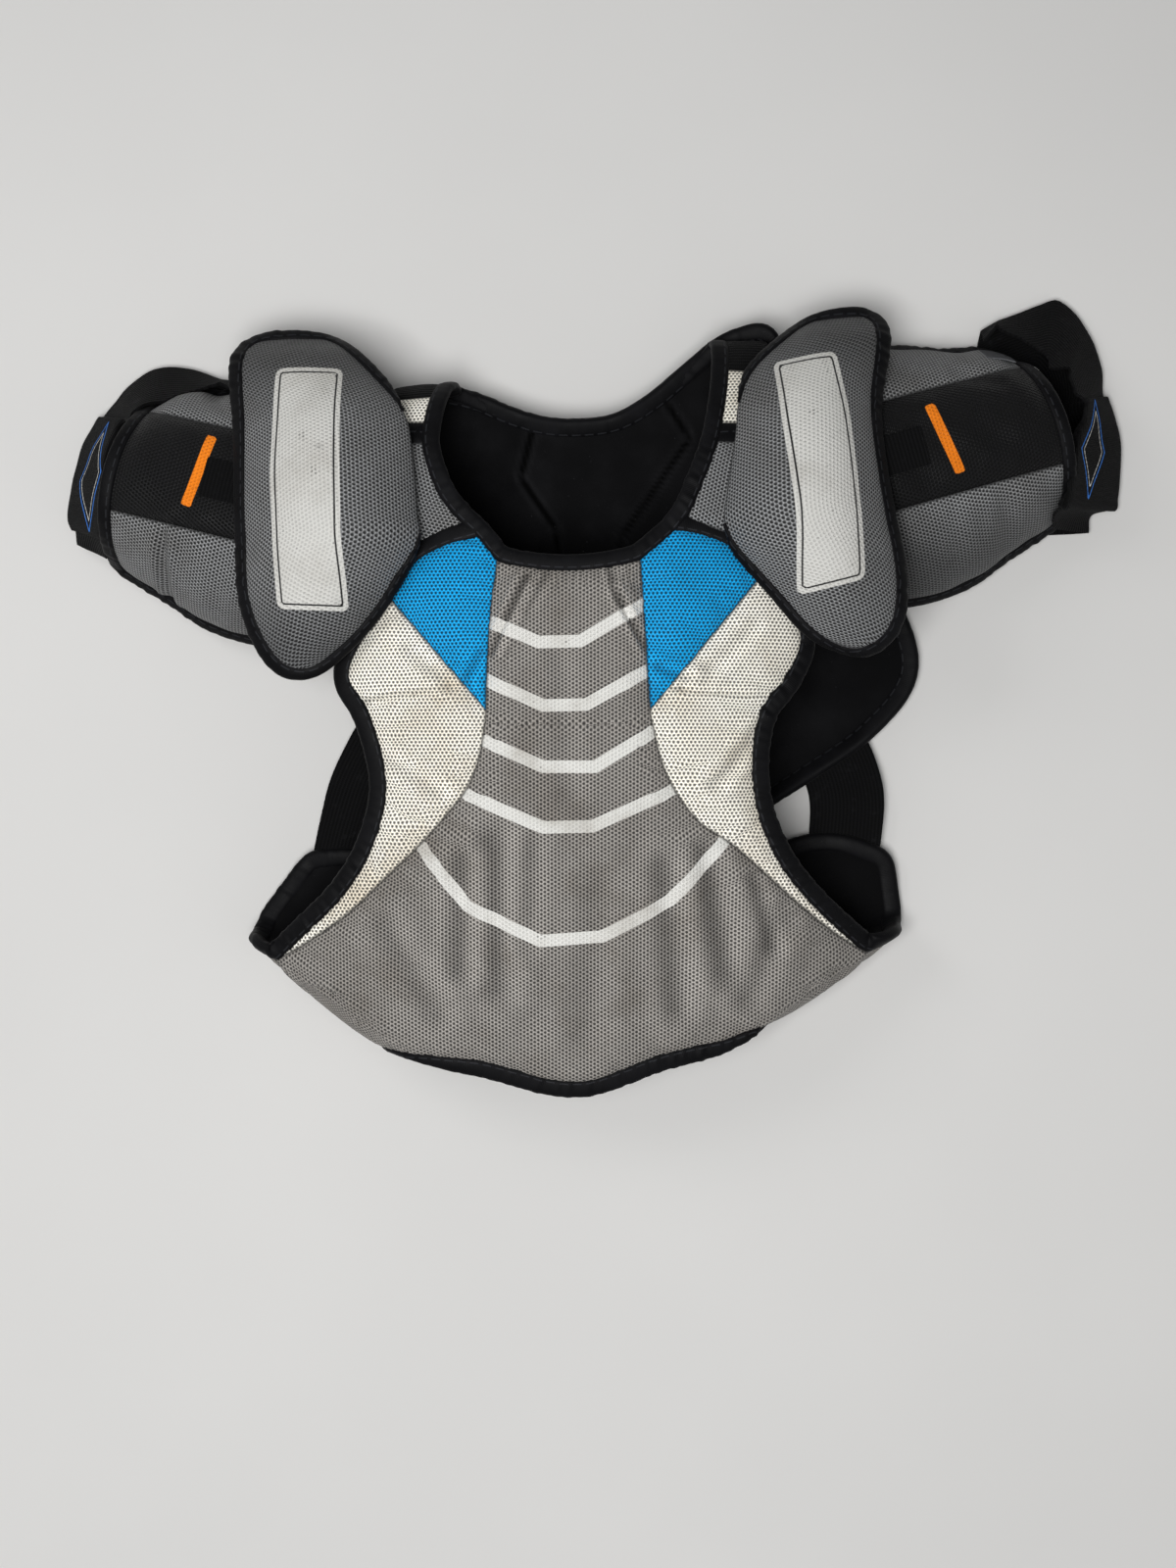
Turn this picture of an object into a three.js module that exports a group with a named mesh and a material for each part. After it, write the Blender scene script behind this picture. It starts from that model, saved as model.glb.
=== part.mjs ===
// Hockey chest and shoulder protector, lying on its back as it was put down.
// Millimetres. +Z is up out of the chest, +Y towards the head, +X towards the wearer's left.
// The origin is the centre of the footprint, on the surface that the back lies on.
// Every padded piece is a curved sheet with a thickness. A sheet comes from a short table of sections.

import * as THREE from "three";

// Walls, tapes and gaps
const COVER = 2.3; // mesh cloth over the foam
const CHEST_FOAM = 8;
const BACK_FOAM = 8;
const LINING = 1.7;
const CAP_FOAM = 10;
const ARM_FOAM = 9;
const YOKE_FOAM = 8;
const PINCHED = 3.5; // foam is pressed to this under a bound edge
const TAPE_WIDTH = 10.5; // binding tape, seen from its face
const TAPE_COVER = 1.1; // tape stands this far over the faces that it wraps
const CAP_TAPE_WIDTH = 8.5;
const NECK_TAPE_WIDTH = 10;
const WEBBING = 2;
const FLAP = 3;
const GAP = 0.4; // between neighbouring pieces
const TAPE_END_GAP = 1.2; // where a tape ends against another
const FOOTPRINT_SHIFT = new THREE.Vector3(-0.65, -2.45, 0);

// Chest sheet: a shallow arch that falls towards the sides and the hem
const CHEST_MID_X = -15;
const CREST_Z = 110;
const CREST_Y = 20;
const HEM_FALL = 40;
const HEM_REACH = 275;
const NECK_FALL = 6;
const NECK_REACH = 80;
const SIDE_FALL = 50;
const SIDE_REACH = 200;
const SIDE_POWER = 2.2;
const NECK_DIP = 6.5;
const HEM_DIP = 36;
const HEM_POWER = 1.6;
const WING_FLOOR_Z = 5;
const WING_END_LIFT = 4;
const ROLL_START = 0.42; // slope of the front where the wing begins to roll under, in radians
const HEM_ROLL_OUT = 0.85; // how far the roll turns sideways at its hem end, 1 being straight out

// Steps along the sheets
const CENTRE_COLUMNS = 8;
const SIDE_COLUMNS = 3;
const LOWER_ROWS = 5;
const ROLL_STEPS = 5;
const RETURN_STEPS = 4;

// The chest's sections from the neck to the corner over the ribs, each from armhole edge to armhole edge.
// The edges and the two seams beside the centre cover are given as x, y. Blue cloth ends at BLUE_ROWS.
const BLUE_ROWS = 3;
const CHEST_ROWS = [
  { edgeR: [-73, 101], seamR: [-61, 85], seamL: [29, 86], edgeL: [51, 105] },
  { edgeR: [-95, 95], seamR: [-65, 54], seamL: [31, 54], edgeL: [69, 102] },
  { edgeR: [-114, 84], seamR: [-67, 22], seamL: [33, 20], edgeL: [88, 94] },
  { edgeR: [-129, 62], seamR: [-68, -9], seamL: [35, -9], edgeL: [106, 77] },
  { edgeR: [-145, 40], seamR: [-69, -20], seamL: [37, -20], edgeL: [125, 58] },
  { edgeR: [-156, 14], seamR: [-71, -33], seamL: [40, -34], edgeL: [131, 36] },
  { edgeR: [-145, -6], seamR: [-75, -47], seamL: [45, -48], edgeL: [121, 12] },
  { edgeR: [-137, -28], seamR: [-82, -61], seamL: [53, -63], edgeL: [106, -8] },
  { edgeR: [-132, -53], seamR: [-95, -77], seamL: [67, -80], edgeL: [100, -40] },
  { edgeR: [-135, -77], seamR: [-111, -98], seamL: [89, -99], edgeL: [104, -74] },
  { edgeR: [-146, -105], seamR: [-131, -119], seamL: [112, -119], edgeL: [118, -105] },
  { edgeR: [-164, -130], seamR: [-157, -143], seamL: [134, -138], edgeL: [137, -129] },
  { edgeR: [-186, -151], seamR: [-184, -159], seamL: [157, -154], edgeL: [158, -149] },
  { edgeR: [-206, -170], seamR: [-206, -170], seamL: [177, -165], edgeL: [177, -165] },
];

// Where the lower front rolls under on each side, from the corner to the hem
const FOLD = { right: { corner: [-206, -170], hem: [-117, -221] }, left: { corner: [177, -165], hem: [106, -208] } };

// The free end of each wing on the floor, for even steps along its fold from the corner to the hem
const WING_ENDS = [
  { right: [-186, -110], left: [190, -108] },
  { right: [-157, -110], left: [159, -99] },
  { right: [-128, -120], left: [128, -106] },
  { right: [-106, -144], left: [106, -132] },
  { right: [-90, -174], left: [86, -160] },
];

// The back's sections from the neck to the lower tip: the ends, how far the middle dips, and the height
const BACK_COLUMNS = 8;
const BACK_STEPS = 11;
const BACK_EDGE_RISE = 4;
const NECK_POWER = 1.5; // 2 would be a parabola, less is more pointed
const BACK_ROWS = [
  { right: [-128, 206], left: [112, 242], dip: 52, rise: 25 },
  { right: [-136, 168], left: [134, 184], dip: 26, rise: 9 },
  { right: [-143, 115], left: [166, 128], dip: 4, rise: 0 },
  { right: [-145, 60], left: [192, 66], dip: 0, rise: 0 },
  { right: [-140, 16], left: [203, 20], dip: 0, rise: 0 },
  { right: [-112, -14], left: [176, -18], dip: 0, rise: 0 },
  { right: [-72, -42], left: [136, -50], dip: 0, rise: 0 },
  { right: [-20, -78], left: [88, -82], dip: 0, rise: 0 },
];

// Each yoke's sections from the chest seam over the shoulder to the back: neck side, outer side and height
const YOKE_COLUMNS = 3;
const YOKE_STEPS = 16;
const YOKE_OUTER_FALL = 3;
const YOKE_ROWS = {
  right: [
    { neck: [-86, 113], outer: [-127, 98], z: 101 },
    { neck: [-97, 127], outer: [-131, 121], z: 99 },
    { neck: [-104, 144], outer: [-133, 142], z: 96 },
    { neck: [-108, 159], outer: [-134, 159], z: 92 },
    { neck: [-108, 172], outer: [-134, 172], z: 87 },
    { neck: [-105, 190], outer: [-133, 188], z: 77 },
    { neck: [-101, 202], outer: [-131, 200], z: 63 },
    { neck: [-98, 206], outer: [-129, 204], z: 50 },
    { neck: [-97, 207], outer: [-128, 205], z: 41 },
  ],
  left: [
    { neck: [61, 119], outer: [104, 104], z: 101 },
    { neck: [67, 134], outer: [106, 127], z: 99 },
    { neck: [73, 149], outer: [107, 146], z: 96 },
    { neck: [77, 161], outer: [109, 160], z: 92 },
    { neck: [80, 173], outer: [110, 173], z: 86 },
    { neck: [84, 196], outer: [112, 195], z: 75 },
    { neck: [86, 217], outer: [114, 216], z: 63 },
    { neck: [86, 231], outer: [114, 231], z: 53 },
    { neck: [85, 236], outer: [113, 237], z: 45 },
  ],
};
// The pieces of a yoke, as shares of its length
const YOKE_PIECES = [
  { name: "front_cover", from: 0, to: 6, finish: "greyMesh" },
  { name: "cross_tape", from: 6, to: 8, finish: "blackTape" },
  { name: "top_cover", from: 8, to: 11, finish: "whiteMesh" },
  { name: "back_band", from: 11, to: 16, finish: "blackElastic" },
];

// The shoulder cap in its own frame: height along the body, then the outer and the inner edge
const CAP_COLUMNS = 7;
const CAP_STEPS = 13;
const CAP_HALF = 104;
const CAP_DOME = 24;
const CAP_Z = 98;
const CAP_BOW = 16;
const CAP_TIP = -16; // the head end lies lower than the chest end
const CAP_LEAN = 0.1; // fall for each millimetre outwards
const CAP_WAIST = { middle: 30, reach: 62 }; // where a cap's inner edge is drawn in
const CAP_SEAM = { from: 4, to: 7 }; // steps of the inner edge that are sewn to the yoke without tape
const CAP_ROWS = [
  { along: 104, outer: 42, inner: 1 },
  { along: 94, outer: 53, inner: -12 },
  { along: 71, outer: 52.5, inner: -33 },
  { along: 51, outer: 50.5, inner: -48 },
  { along: 23, outer: 49, inner: -53 },
  { along: -11, outer: 48, inner: -56 },
  { along: -27, outer: 47, inner: -57 },
  { along: -48, outer: 46.5, inner: -43 },
  { along: -63, outer: 45, inner: -34 },
  { along: -81, outer: 39.5, inner: -20 },
  { along: -95, outer: 32, inner: -5 },
  { along: -104, outer: 25, inner: 5 },
];

// The upper arm guard in its own frame: along the arm, the chest side and head side edges, crest and edge heights
const ARM_STEPS = 7;
const ARM_END_BOW = 7;
const ARM_POWER = 2.2;
const ARM_FULLNESS = 0.6;
const ARM_ROWS = [
  { along: -20, low: -86, high: 78, crest: 79, edge: 25 },
  { along: 10, low: -88, high: 78, crest: 80, edge: 23 },
  { along: 40, low: -83, high: 71, crest: 79, edge: 19 },
  { along: 65, low: -76, high: 62, crest: 77, edge: 16 },
  { along: 88, low: -72, high: 57, crest: 74, edge: 14 },
  { along: 106, low: -66, high: 45, crest: 69, edge: 14 },
];
// Across the guard: pad name, its limits and the steps it gets. A limit of null is the guard's own edge.
const ARM_BAND = { low: -34, high: 37 };
const ARM_PIECES = [
  { name: "rear_pad", steps: 3, finish: "greyMesh" },
  { name: "middle_pad", steps: 5, finish: "blackMesh" },
  { name: "front_pad", steps: 4, finish: "greyMesh" },
];
const TAB = { length: 30, low: -12, high: 13, lift: 0.5 };

// Each side's cap and arm guard, put down as they lie. Right is the wearer's right, at -X.
const SIDES = {
  right: { hand: -1, capAt: [-170, 125], capTurn: 0, capWaist: 0, armAt: [-197.6, 127.6], armTurn: 14,
    tabFrom: 14 },
  left: { hand: 1, capAt: [136, 135], capTurn: 7, capWaist: 9, armAt: [188, 153.5], armTurn: 16,
    tabFrom: -13 },
};

// Arm straps: the edge near the floor and the edge near the arm with its height, from the head side round
const STRAP_OUTER_Z = 7;
const STRAP_STEPS = 18;
const STRAP_ROWS = {
  right: [
    { outer: [-248, 225], inner: [-244, 214], z: 24 },
    { outer: [-275, 226], inner: [-268, 212], z: 26 },
    { outer: [-298, 220], inner: [-290, 206], z: 30 },
    { outer: [-315, 208], inner: [-305, 196], z: 36 },
    { outer: [-331, 187], inner: [-314, 178], z: 40 },
    { outer: [-341, 160], inner: [-320, 158], z: 41 },
    { outer: [-345, 132], inner: [-325, 135], z: 41 },
    { outer: [-345, 110], inner: [-331, 114], z: 38 },
    { outer: [-340, 96], inner: [-333, 103], z: 33 },
  ],
  left: [
    { outer: [268, 254], inner: [266, 244], z: 24 },
    { outer: [291, 262], inner: [283, 234], z: 27 },
    { outer: [311, 266], inner: [298, 223], z: 32 },
    { outer: [326, 254], inner: [309, 211], z: 36 },
    { outer: [336, 237], inner: [315, 198], z: 39 },
    { outer: [342, 211], inner: [318, 182], z: 41 },
    { outer: [346, 182], inner: [319, 165], z: 41 },
    { outer: [346, 154], inner: [320, 147], z: 41 },
    { outer: [342, 132], inner: [323, 129], z: 38 },
    { outer: [336, 121], inner: [323, 120], z: 34 },
  ],
};
const FLAP_SPAN = { from: 0.52, to: 0.94 };
const FLAP_STEPS = 8;
const FLAP_MARGIN = 0.06;

// Elastic from each wing's end to the back's lower edge: corners on the back, then on the wing
const ELASTIC_STEPS = 5;
const ELASTIC_Z = 8;
const ELASTIC_ARCH = 5;
const ELASTICS = {
  right: { back: [[-128, -22], [-92, -47]], wing: [[-188, -96], [-146, -96]] },
  left: { back: [[147, -62], [186, -30]], wing: [[143, -83], [190, -88]] },
};

const LABEL = { from: 0.77, to: 0.94, low: 0.915, high: 0.985, thickness: 0.8 };
const LABEL_LIFT = 1;

const FINISHES = {
  greyMesh: { color: 0x55565a, roughness: 0.75, metalness: 0 },
  whiteMesh: { color: 0xd9d5c8, roughness: 0.8, metalness: 0 },
  blueMesh: { color: 0x1c86c6, roughness: 0.75, metalness: 0 },
  blackMesh: { color: 0x101113, roughness: 0.8, metalness: 0 },
  blackTape: { color: 0x14161a, roughness: 0.7, metalness: 0 },
  blackLining: { color: 0x0c0c0d, roughness: 0.95, metalness: 0 },
  blackElastic: { color: 0x121214, roughness: 0.85, metalness: 0 },
  label: { color: 0x2a2b2e, roughness: 0.7, metalness: 0 },
};

const part = new THREE.Group();
const assembly = new THREE.Group();
assembly.position.copy(FOOTPRINT_SHIFT);
part.add(assembly);

function addPiece(name, finish, geometry) {
  const mesh = new THREE.Mesh(geometry, new THREE.MeshStandardMaterial(FINISHES[finish]));
  mesh.name = name;
  assembly.add(mesh);
}

// Curves and grids

const mix = (a, b, t) => a + (b - a) * t;
const mixPoint = (a, b, t) => [mix(a[0], b[0], t), mix(a[1], b[1], t)];
const range = (steps) => Array.from({ length: steps + 1 }, (_, i) => i / steps);

/** A Catmull-Rom curve through a table's column, as a function of 0 to 1. */
function column(rows, pick) {
  const points = rows.map((row) => new THREE.Vector3(...pick(row)));
  const curve = new THREE.CatmullRomCurve3(points, false, "catmullrom", 0.5);
  return (t) => curve.getPoint(t);
}
const flat = (key) => (row) => [row[key][0], row[key][1], 0];

// Sheets and solids

/** A surface of welded triangles. A patch is a grid of points whose rows run from the head to the hem. */
class Sheet {
  points = [];
  triangles = [];
  known = new Map();

  vertex(point) {
    const key = point.toArray().map((v) => Math.round(v * 1000)).join();
    if (!this.known.has(key)) {
      this.known.set(key, this.points.length);
      this.points.push(point.clone());
    }
    return this.known.get(key);
  }

  /** Adds a grid and returns its triangles. Collapsed ones are left out. */
  patch(grid) {
    const index = grid.map((row) => row.map((point) => this.vertex(point)));
    const added = [];
    for (let r = 0; r + 1 < index.length; r++) {
      for (let c = 0; c + 1 < index[r].length; c++) {
        const [a, b] = [index[r][c], index[r + 1][c]];
        const [d, e] = [index[r][c + 1], index[r + 1][c + 1]];
        added.push([a, b, e], [a, e, d]);
      }
    }
    const whole = added.filter(([a, b, c]) => a !== b && b !== c && c !== a);
    this.triangles.push(...whole);
    return whole;
  }

  /** A unit normal at each point, averaged over the triangles around it. */
  normals() {
    const sums = this.points.map(() => new THREE.Vector3());
    for (const [a, b, c] of this.triangles) {
      const [p, q, r] = [a, b, c].map((i) => this.points[i]);
      const normal = q.clone().sub(p).cross(r.clone().sub(p));
      [a, b, c].forEach((i) => sums[i].add(normal));
    }
    return sums.map((sum) => sum.normalize());
  }
}

/** The edge of some triangles as a map from each point to the next, with the sheet on the left. */
function edgeOf(triangles) {
  const sides = triangles.flatMap(([a, b, c]) => [[a, b], [b, c], [c, a]]);
  const there = new Set(sides.map(([a, b]) => `${a},${b}`));
  return new Map(sides.filter(([a, b]) => !there.has(`${b},${a}`)));
}

/** The points of an edge in order, beginning at a given one. */
function loopFrom(edge, start) {
  const loop = [start];
  for (let next = edge.get(start); next !== start; next = edge.get(next)) loop.push(next);
  return loop;
}

/** Unit vectors out of a sheet along a path on its edge, lengthened a little at corners. */
function outwardAlong(points, normals, closed) {
  const at = (i) => points[(i + points.length) % points.length];
  return points.map((_, i) => {
    const sides = [[i - 1, i], [i, i + 1]]
      .filter(([a, b]) => closed || (a >= 0 && b < points.length))
      .map(([a, b]) => at(b).clone().sub(at(a)).cross(normals[i]).normalize());
    const sum = sides.reduce((total, side) => total.add(side.clone()), new THREE.Vector3());
    const reach = Math.min(1.3, sides.length / Math.max(sum.length(), 1e-6));
    return sum.normalize().multiplyScalar(reach);
  });
}

function geometryOf(points, triangles) {
  const made = new THREE.BufferGeometry();
  made.setAttribute("position", new THREE.Float32BufferAttribute(points.flatMap((p) => p.toArray()), 3));
  made.setIndex(triangles.flat());
  return made;
}

/** Turns a closed geometry's faces outwards, by the sign of its volume. */
function facingOut(points, triangles) {
  const volume = triangles.reduce((sum, [a, b, c]) => {
    return sum + points[a].dot(points[b].clone().cross(points[c]));
  }, 0);
  return geometryOf(points, volume < 0 ? triangles.map(([a, b, c]) => [a, c, b]) : triangles);
}

/** A solid between two offsets from some of a sheet's triangles, drawn in from its neighbours by inset. */
function slab(sheet, triangles, normals, top, bottom, inset = 0) {
  const edge = edgeOf(triangles);
  const used = [...new Set(triangles.flat())];
  const place = new Map(used.map((vertex, i) => [vertex, i]));
  const moved = new Map();
  for (let left = new Set(edge.keys()); left.size; ) {
    const loop = loopFrom(edge, left.values().next().value);
    outwardAlong(loop.map((v) => sheet.points[v]), loop.map((v) => normals[v]), true)
      .forEach((out, i) => moved.set(loop[i], out.multiplyScalar(-inset)));
    loop.forEach((vertex) => left.delete(vertex));
  }
  const layer = (offset) => used.map((vertex) => {
    const point = sheet.points[vertex].clone().addScaledVector(normals[vertex], offset(vertex));
    return moved.has(vertex) ? point.add(moved.get(vertex)) : point;
  });
  const points = [...layer(top), ...layer(bottom)];
  const under = used.length;
  const faces = triangles.flatMap((corners) => {
    const [a, b, c] = corners.map((vertex) => place.get(vertex));
    return [[a, b, c], [a + under, c + under, b + under]];
  });
  for (const [from, to] of edge) {
    const [a, b] = [place.get(from), place.get(to)];
    faces.push([a, a + under, b + under], [a, b + under, b]);
  }
  return facingOut(points, faces);
}

/** A closed section carried along rings of points; each ring is a list of points in the same order. */
function swept(rings, closed) {
  const count = rings[0].length;
  const points = rings.flat();
  const faces = [];
  const last = closed ? rings.length : rings.length - 1;
  for (let i = 0; i < last; i++) {
    const [here, next] = [i * count, ((i + 1) % rings.length) * count];
    for (let k = 0; k < count; k++) {
      const l = (k + 1) % count;
      faces.push([here + k, next + k, next + l], [here + k, next + l, here + l]);
    }
  }
  if (!closed) {
    const end = (rings.length - 1) * count;
    for (let k = 1; k + 1 < count; k++) faces.push([0, k, k + 1], [end, end + k + 1, end + k]);
  }
  return facingOut(points, faces);
}

/** Places along a sheet's edge for a tape, with how far the tape reaches under and over the sheet there. */
function places(sheet, normals, loop, low, high) {
  return loop.map((v) => ({ point: sheet.points[v], normal: normals[v], low, high }));
}

/** Binding tape along places on an edge: a bead with a rounded outer side, from the gap to its width. */
function tape(along, closed, width = TAPE_WIDTH, ends = {}) {
  const outward = outwardAlong(along.map((place) => place.point), along.map((place) => place.normal), closed);
  Object.entries(ends).forEach(([i, out]) => outward[i].copy(out));
  const rings = along.map(({ point, normal, low, high }, i) => {
    const middle = (low + high) / 2;
    const shoulder = (high - low) / 4;
    const section = [
      [GAP, low], [width * 0.7, low], [width, middle - shoulder],
      [width, middle + shoulder], [width * 0.7, high], [GAP, high],
    ];
    return section.map(([out, up]) => {
      return point.clone().addScaledVector(outward[i], out).addScaledVector(normal, up);
    });
  });
  return swept(rings, closed);
}

// Chest

/** Height of the chest sheet over the floor: a crest line along the body less a fall towards the sides. */
function chestHeight(x, y) {
  const away = y - CREST_Y;
  const fall = away < 0 ? HEM_FALL * (away / HEM_REACH) ** 2 : NECK_FALL * (away / NECK_REACH) ** 2;
  return CREST_Z - fall - SIDE_FALL * (Math.abs(x - CHEST_MID_X) / SIDE_REACH) ** SIDE_POWER;
}
const onChest = ([x, y]) => new THREE.Vector3(x, y, chestHeight(x, y));

/** Points from a wing's fold round its roll to the floor and on to its free end, at one place along the fold. */
function wingLine(side, t) {
  const { corner, hem } = FOLD[side];
  const start = onChest(mixPoint(corner, hem, t));
  const along = new THREE.Vector2(hem[0] - corner[0], hem[1] - corner[1]).normalize();
  const sideways = mix(Math.abs(along.y), HEM_ROLL_OUT, t);
  const outX = SIDES[side].hand * sideways;
  const outY = -Math.sqrt(1 - sideways ** 2);
  const radius = (start.z - WING_FLOOR_Z) / (1 + Math.cos(ROLL_START));
  const roll = range(ROLL_STEPS).map((share) => {
    const angle = mix(ROLL_START, Math.PI, share);
    const out = radius * (Math.sin(angle) - Math.sin(ROLL_START));
    const drop = radius * (Math.cos(ROLL_START) - Math.cos(angle));
    return new THREE.Vector3(start.x + outX * out, start.y + outY * out, start.z - drop);
  });
  const bottom = roll[ROLL_STEPS];
  const end = column(WING_ENDS, flat(side))(t);
  const back = range(RETURN_STEPS).slice(1).map((share) => new THREE.Vector3(
    mix(bottom.x, end.x, share),
    mix(bottom.y, end.y, share),
    WING_FLOOR_Z + WING_END_LIFT * share ** 2,
  ));
  return [...roll, ...back];
}

function buildChest() {
  const sheet = new Sheet();
  const ruled = (from, to, steps) => CHEST_ROWS.map((row) => {
    return range(steps).map((s) => onChest(mixPoint(row[from], row[to], s)));
  });
  const sideR = ruled("edgeR", "seamR", SIDE_COLUMNS);
  const sideL = ruled("seamL", "edgeL", SIDE_COLUMNS);
  const upper = CHEST_ROWS.map((row, r) => range(CENTRE_COLUMNS).map((s) => {
    const [x, y] = mixPoint(row.seamR, row.seamL, s);
    const nearNeck = (1 - r / (CHEST_ROWS.length - 1)) ** 4;
    return onChest([x, y - NECK_DIP * nearNeck * (1 - (2 * s - 1) ** 2)]);
  }));
  const lower = range(LOWER_ROWS).map((t) => range(CENTRE_COLUMNS).map((s) => {
    const right = mixPoint(FOLD.right.corner, FOLD.right.hem, t);
    const left = mixPoint(FOLD.left.corner, FOLD.left.hem, t);
    const [x, y] = mixPoint(right, left, s);
    return onChest([x, y - HEM_DIP * t * (1 - Math.abs(2 * s - 1) ** HEM_POWER)]);
  }));
  const wingR = range(LOWER_ROWS).map((t) => wingLine("right", t).reverse());
  const wingL = range(LOWER_ROWS).map((t) => wingLine("left", t));
  const blueR = sheet.patch(sideR.slice(0, BLUE_ROWS + 1));
  const blueL = sheet.patch(sideL.slice(0, BLUE_ROWS + 1));
  const whiteR = sheet.patch(sideR.slice(BLUE_ROWS));
  const whiteL = sheet.patch(sideL.slice(BLUE_ROWS));
  const front = [upper, lower].flatMap((grid) => sheet.patch(grid));
  const underR = sheet.patch(wingR);
  const underL = sheet.patch(wingL);
  const centre = [...front, ...underR, ...underL];

  const normals = sheet.normals();
  const edge = edgeOf(sheet.triangles);
  const foam = (vertex) => -(edge.has(vertex) ? PINCHED : CHEST_FOAM);
  const pad = (name, triangles) => {
    addPiece(name, "blackLining", slab(sheet, triangles, normals, () => -GAP, foam, GAP / 2));
  };
  pad("chest_pad", [...blueR, ...blueL, ...whiteR, ...whiteL, ...front]);
  pad("chest_right_wing_pad", underR);
  pad("chest_left_wing_pad", underL);
  const cover = (name, finish, triangles) => {
    addPiece(name, finish, slab(sheet, triangles, normals, () => COVER, () => 0, GAP / 2));
  };
  cover("chest_centre_cover", "greyMesh", centre);
  cover("chest_right_blue_cover", "blueMesh", blueR);
  cover("chest_left_blue_cover", "blueMesh", blueL);
  cover("chest_right_white_cover", "whiteMesh", whiteR);
  cover("chest_left_white_cover", "whiteMesh", whiteL);
  const loop = loopFrom(edge, sheet.vertex(sideR[0][0]));
  const last = loop.indexOf(sheet.vertex(sideL[0][SIDE_COLUMNS]));
  const reach = [-PINCHED - TAPE_COVER, COVER + TAPE_COVER];
  const neck = places(sheet, normals, [...loop.slice(last), loop[0]], ...reach);
  return { sheet, body: places(sheet, normals, loop.slice(0, last + 1), ...reach), neck };
}

/** The neck tape runs from the end of one yoke, round the front of the neck, to the end of the other. */
function buildNeckAndChestTapes(chest, yokeRight, yokeLeft) {
  const path = [...yokeLeft, ...chest.neck, ...yokeRight];
  addPiece("neck_binding", "blackTape", tape(path, false, NECK_TAPE_WIDTH));
  const body = chest.body.map((place) => ({ ...place, point: place.point.clone() }));
  const ends = {};
  for (const [i, next, yoke] of [[0, 1, yokeRight[0]], [body.length - 1, body.length - 2, yokeLeft.at(-1)]]) {
    const along = body[next].point.clone().sub(body[i].point).normalize();
    const across = yoke.point.clone().sub(body[i].point).normalize();
    const square = along.clone().cross(body[i].normal).normalize();
    ends[i] = across.divideScalar(Math.abs(across.dot(square)));
    body[i].point.addScaledVector(along, TAPE_END_GAP);
  }
  addPiece("chest_binding", "blackTape", tape(body, false, TAPE_WIDTH, ends));
}

// Back

function buildBack() {
  const sheet = new Sheet();
  const right = column(BACK_ROWS, flat("right"));
  const left = column(BACK_ROWS, flat("left"));
  const shape = column(BACK_ROWS, (row) => [row.dip, row.rise, 0]);
  const triangles = sheet.patch(range(BACK_STEPS).map((t) => range(BACK_COLUMNS).map((s) => {
    const across = 2 * s - 1;
    const { x: dip, y: rise } = shape(t);
    const point = right(t).lerp(left(t), s);
    point.y -= dip * (1 - Math.abs(across) ** NECK_POWER);
    const ends = Math.max(Math.abs(across), 2 * t - 1) === 1 ? 1 : 0;
    point.z = Math.max(0, rise) + BACK_EDGE_RISE * ends;
    return point;
  })));
  const normals = sheet.normals();
  const edge = edgeOf(triangles);
  const foam = (vertex) => (edge.has(vertex) ? PINCHED : BACK_FOAM);
  addPiece("back_pad", "greyMesh", slab(sheet, triangles, normals, foam, () => 0, GAP));
  addPiece("back_lining", "blackLining",
    slab(sheet, triangles, normals, (v) => foam(v) + GAP + LINING, (v) => foam(v) + GAP, GAP));
  const loop = loopFrom(edge, edge.keys().next().value);
  addPiece("back_binding", "blackTape",
    tape(places(sheet, normals, loop, -TAPE_COVER, PINCHED + LINING + TAPE_COVER), true));
}

// Yokes over the shoulders

function buildYoke(side) {
  const sheet = new Sheet();
  const rows = YOKE_ROWS[side];
  const neck = column(rows, (row) => [...row.neck, row.z]);
  const outer = column(rows, (row) => [...row.outer, row.z - YOKE_OUTER_FALL]);
  const grid = range(YOKE_STEPS).map((t) => {
    const row = range(YOKE_COLUMNS).map((s) => neck(t).lerp(outer(t), s));
    return side === "right" ? row : row.reverse();
  });
  const headFirst = grid.reverse();
  const pieces = YOKE_PIECES.map(({ name, from, to, finish }) => {
    const rowsOf = headFirst.slice(YOKE_STEPS - to, YOKE_STEPS - from + 1);
    return { name, finish, triangles: sheet.patch(rowsOf.map((row) => [...row].reverse())) };
  });
  const normals = sheet.normals();
  const edge = edgeOf(sheet.triangles);
  for (const { name, finish, triangles } of pieces) {
    addPiece(`yoke_${side}_${name}`, finish,
      slab(sheet, triangles, normals, () => 0, (v) => -(edge.has(v) ? PINCHED : YOKE_FOAM), GAP / 2));
  }
  const onNeck = range(YOKE_STEPS).map((t) => sheet.vertex(neck(t)));
  const loop = edge.get(onNeck[0]) === onNeck[1] ? onNeck : onNeck.reverse();
  return places(sheet, normals, loop, -PINCHED - TAPE_COVER, TAPE_COVER);
}

// Shoulder caps

/** Puts a point of a side's own frame, outward and headward, where that side lies. */
function laid(at, turn, hand, out, head) {
  const angle = THREE.MathUtils.degToRad(turn);
  const x = out * Math.cos(angle) - head * Math.sin(angle);
  const y = out * Math.sin(angle) + head * Math.cos(angle);
  return [at[0] + hand * x, at[1] + y];
}

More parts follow.
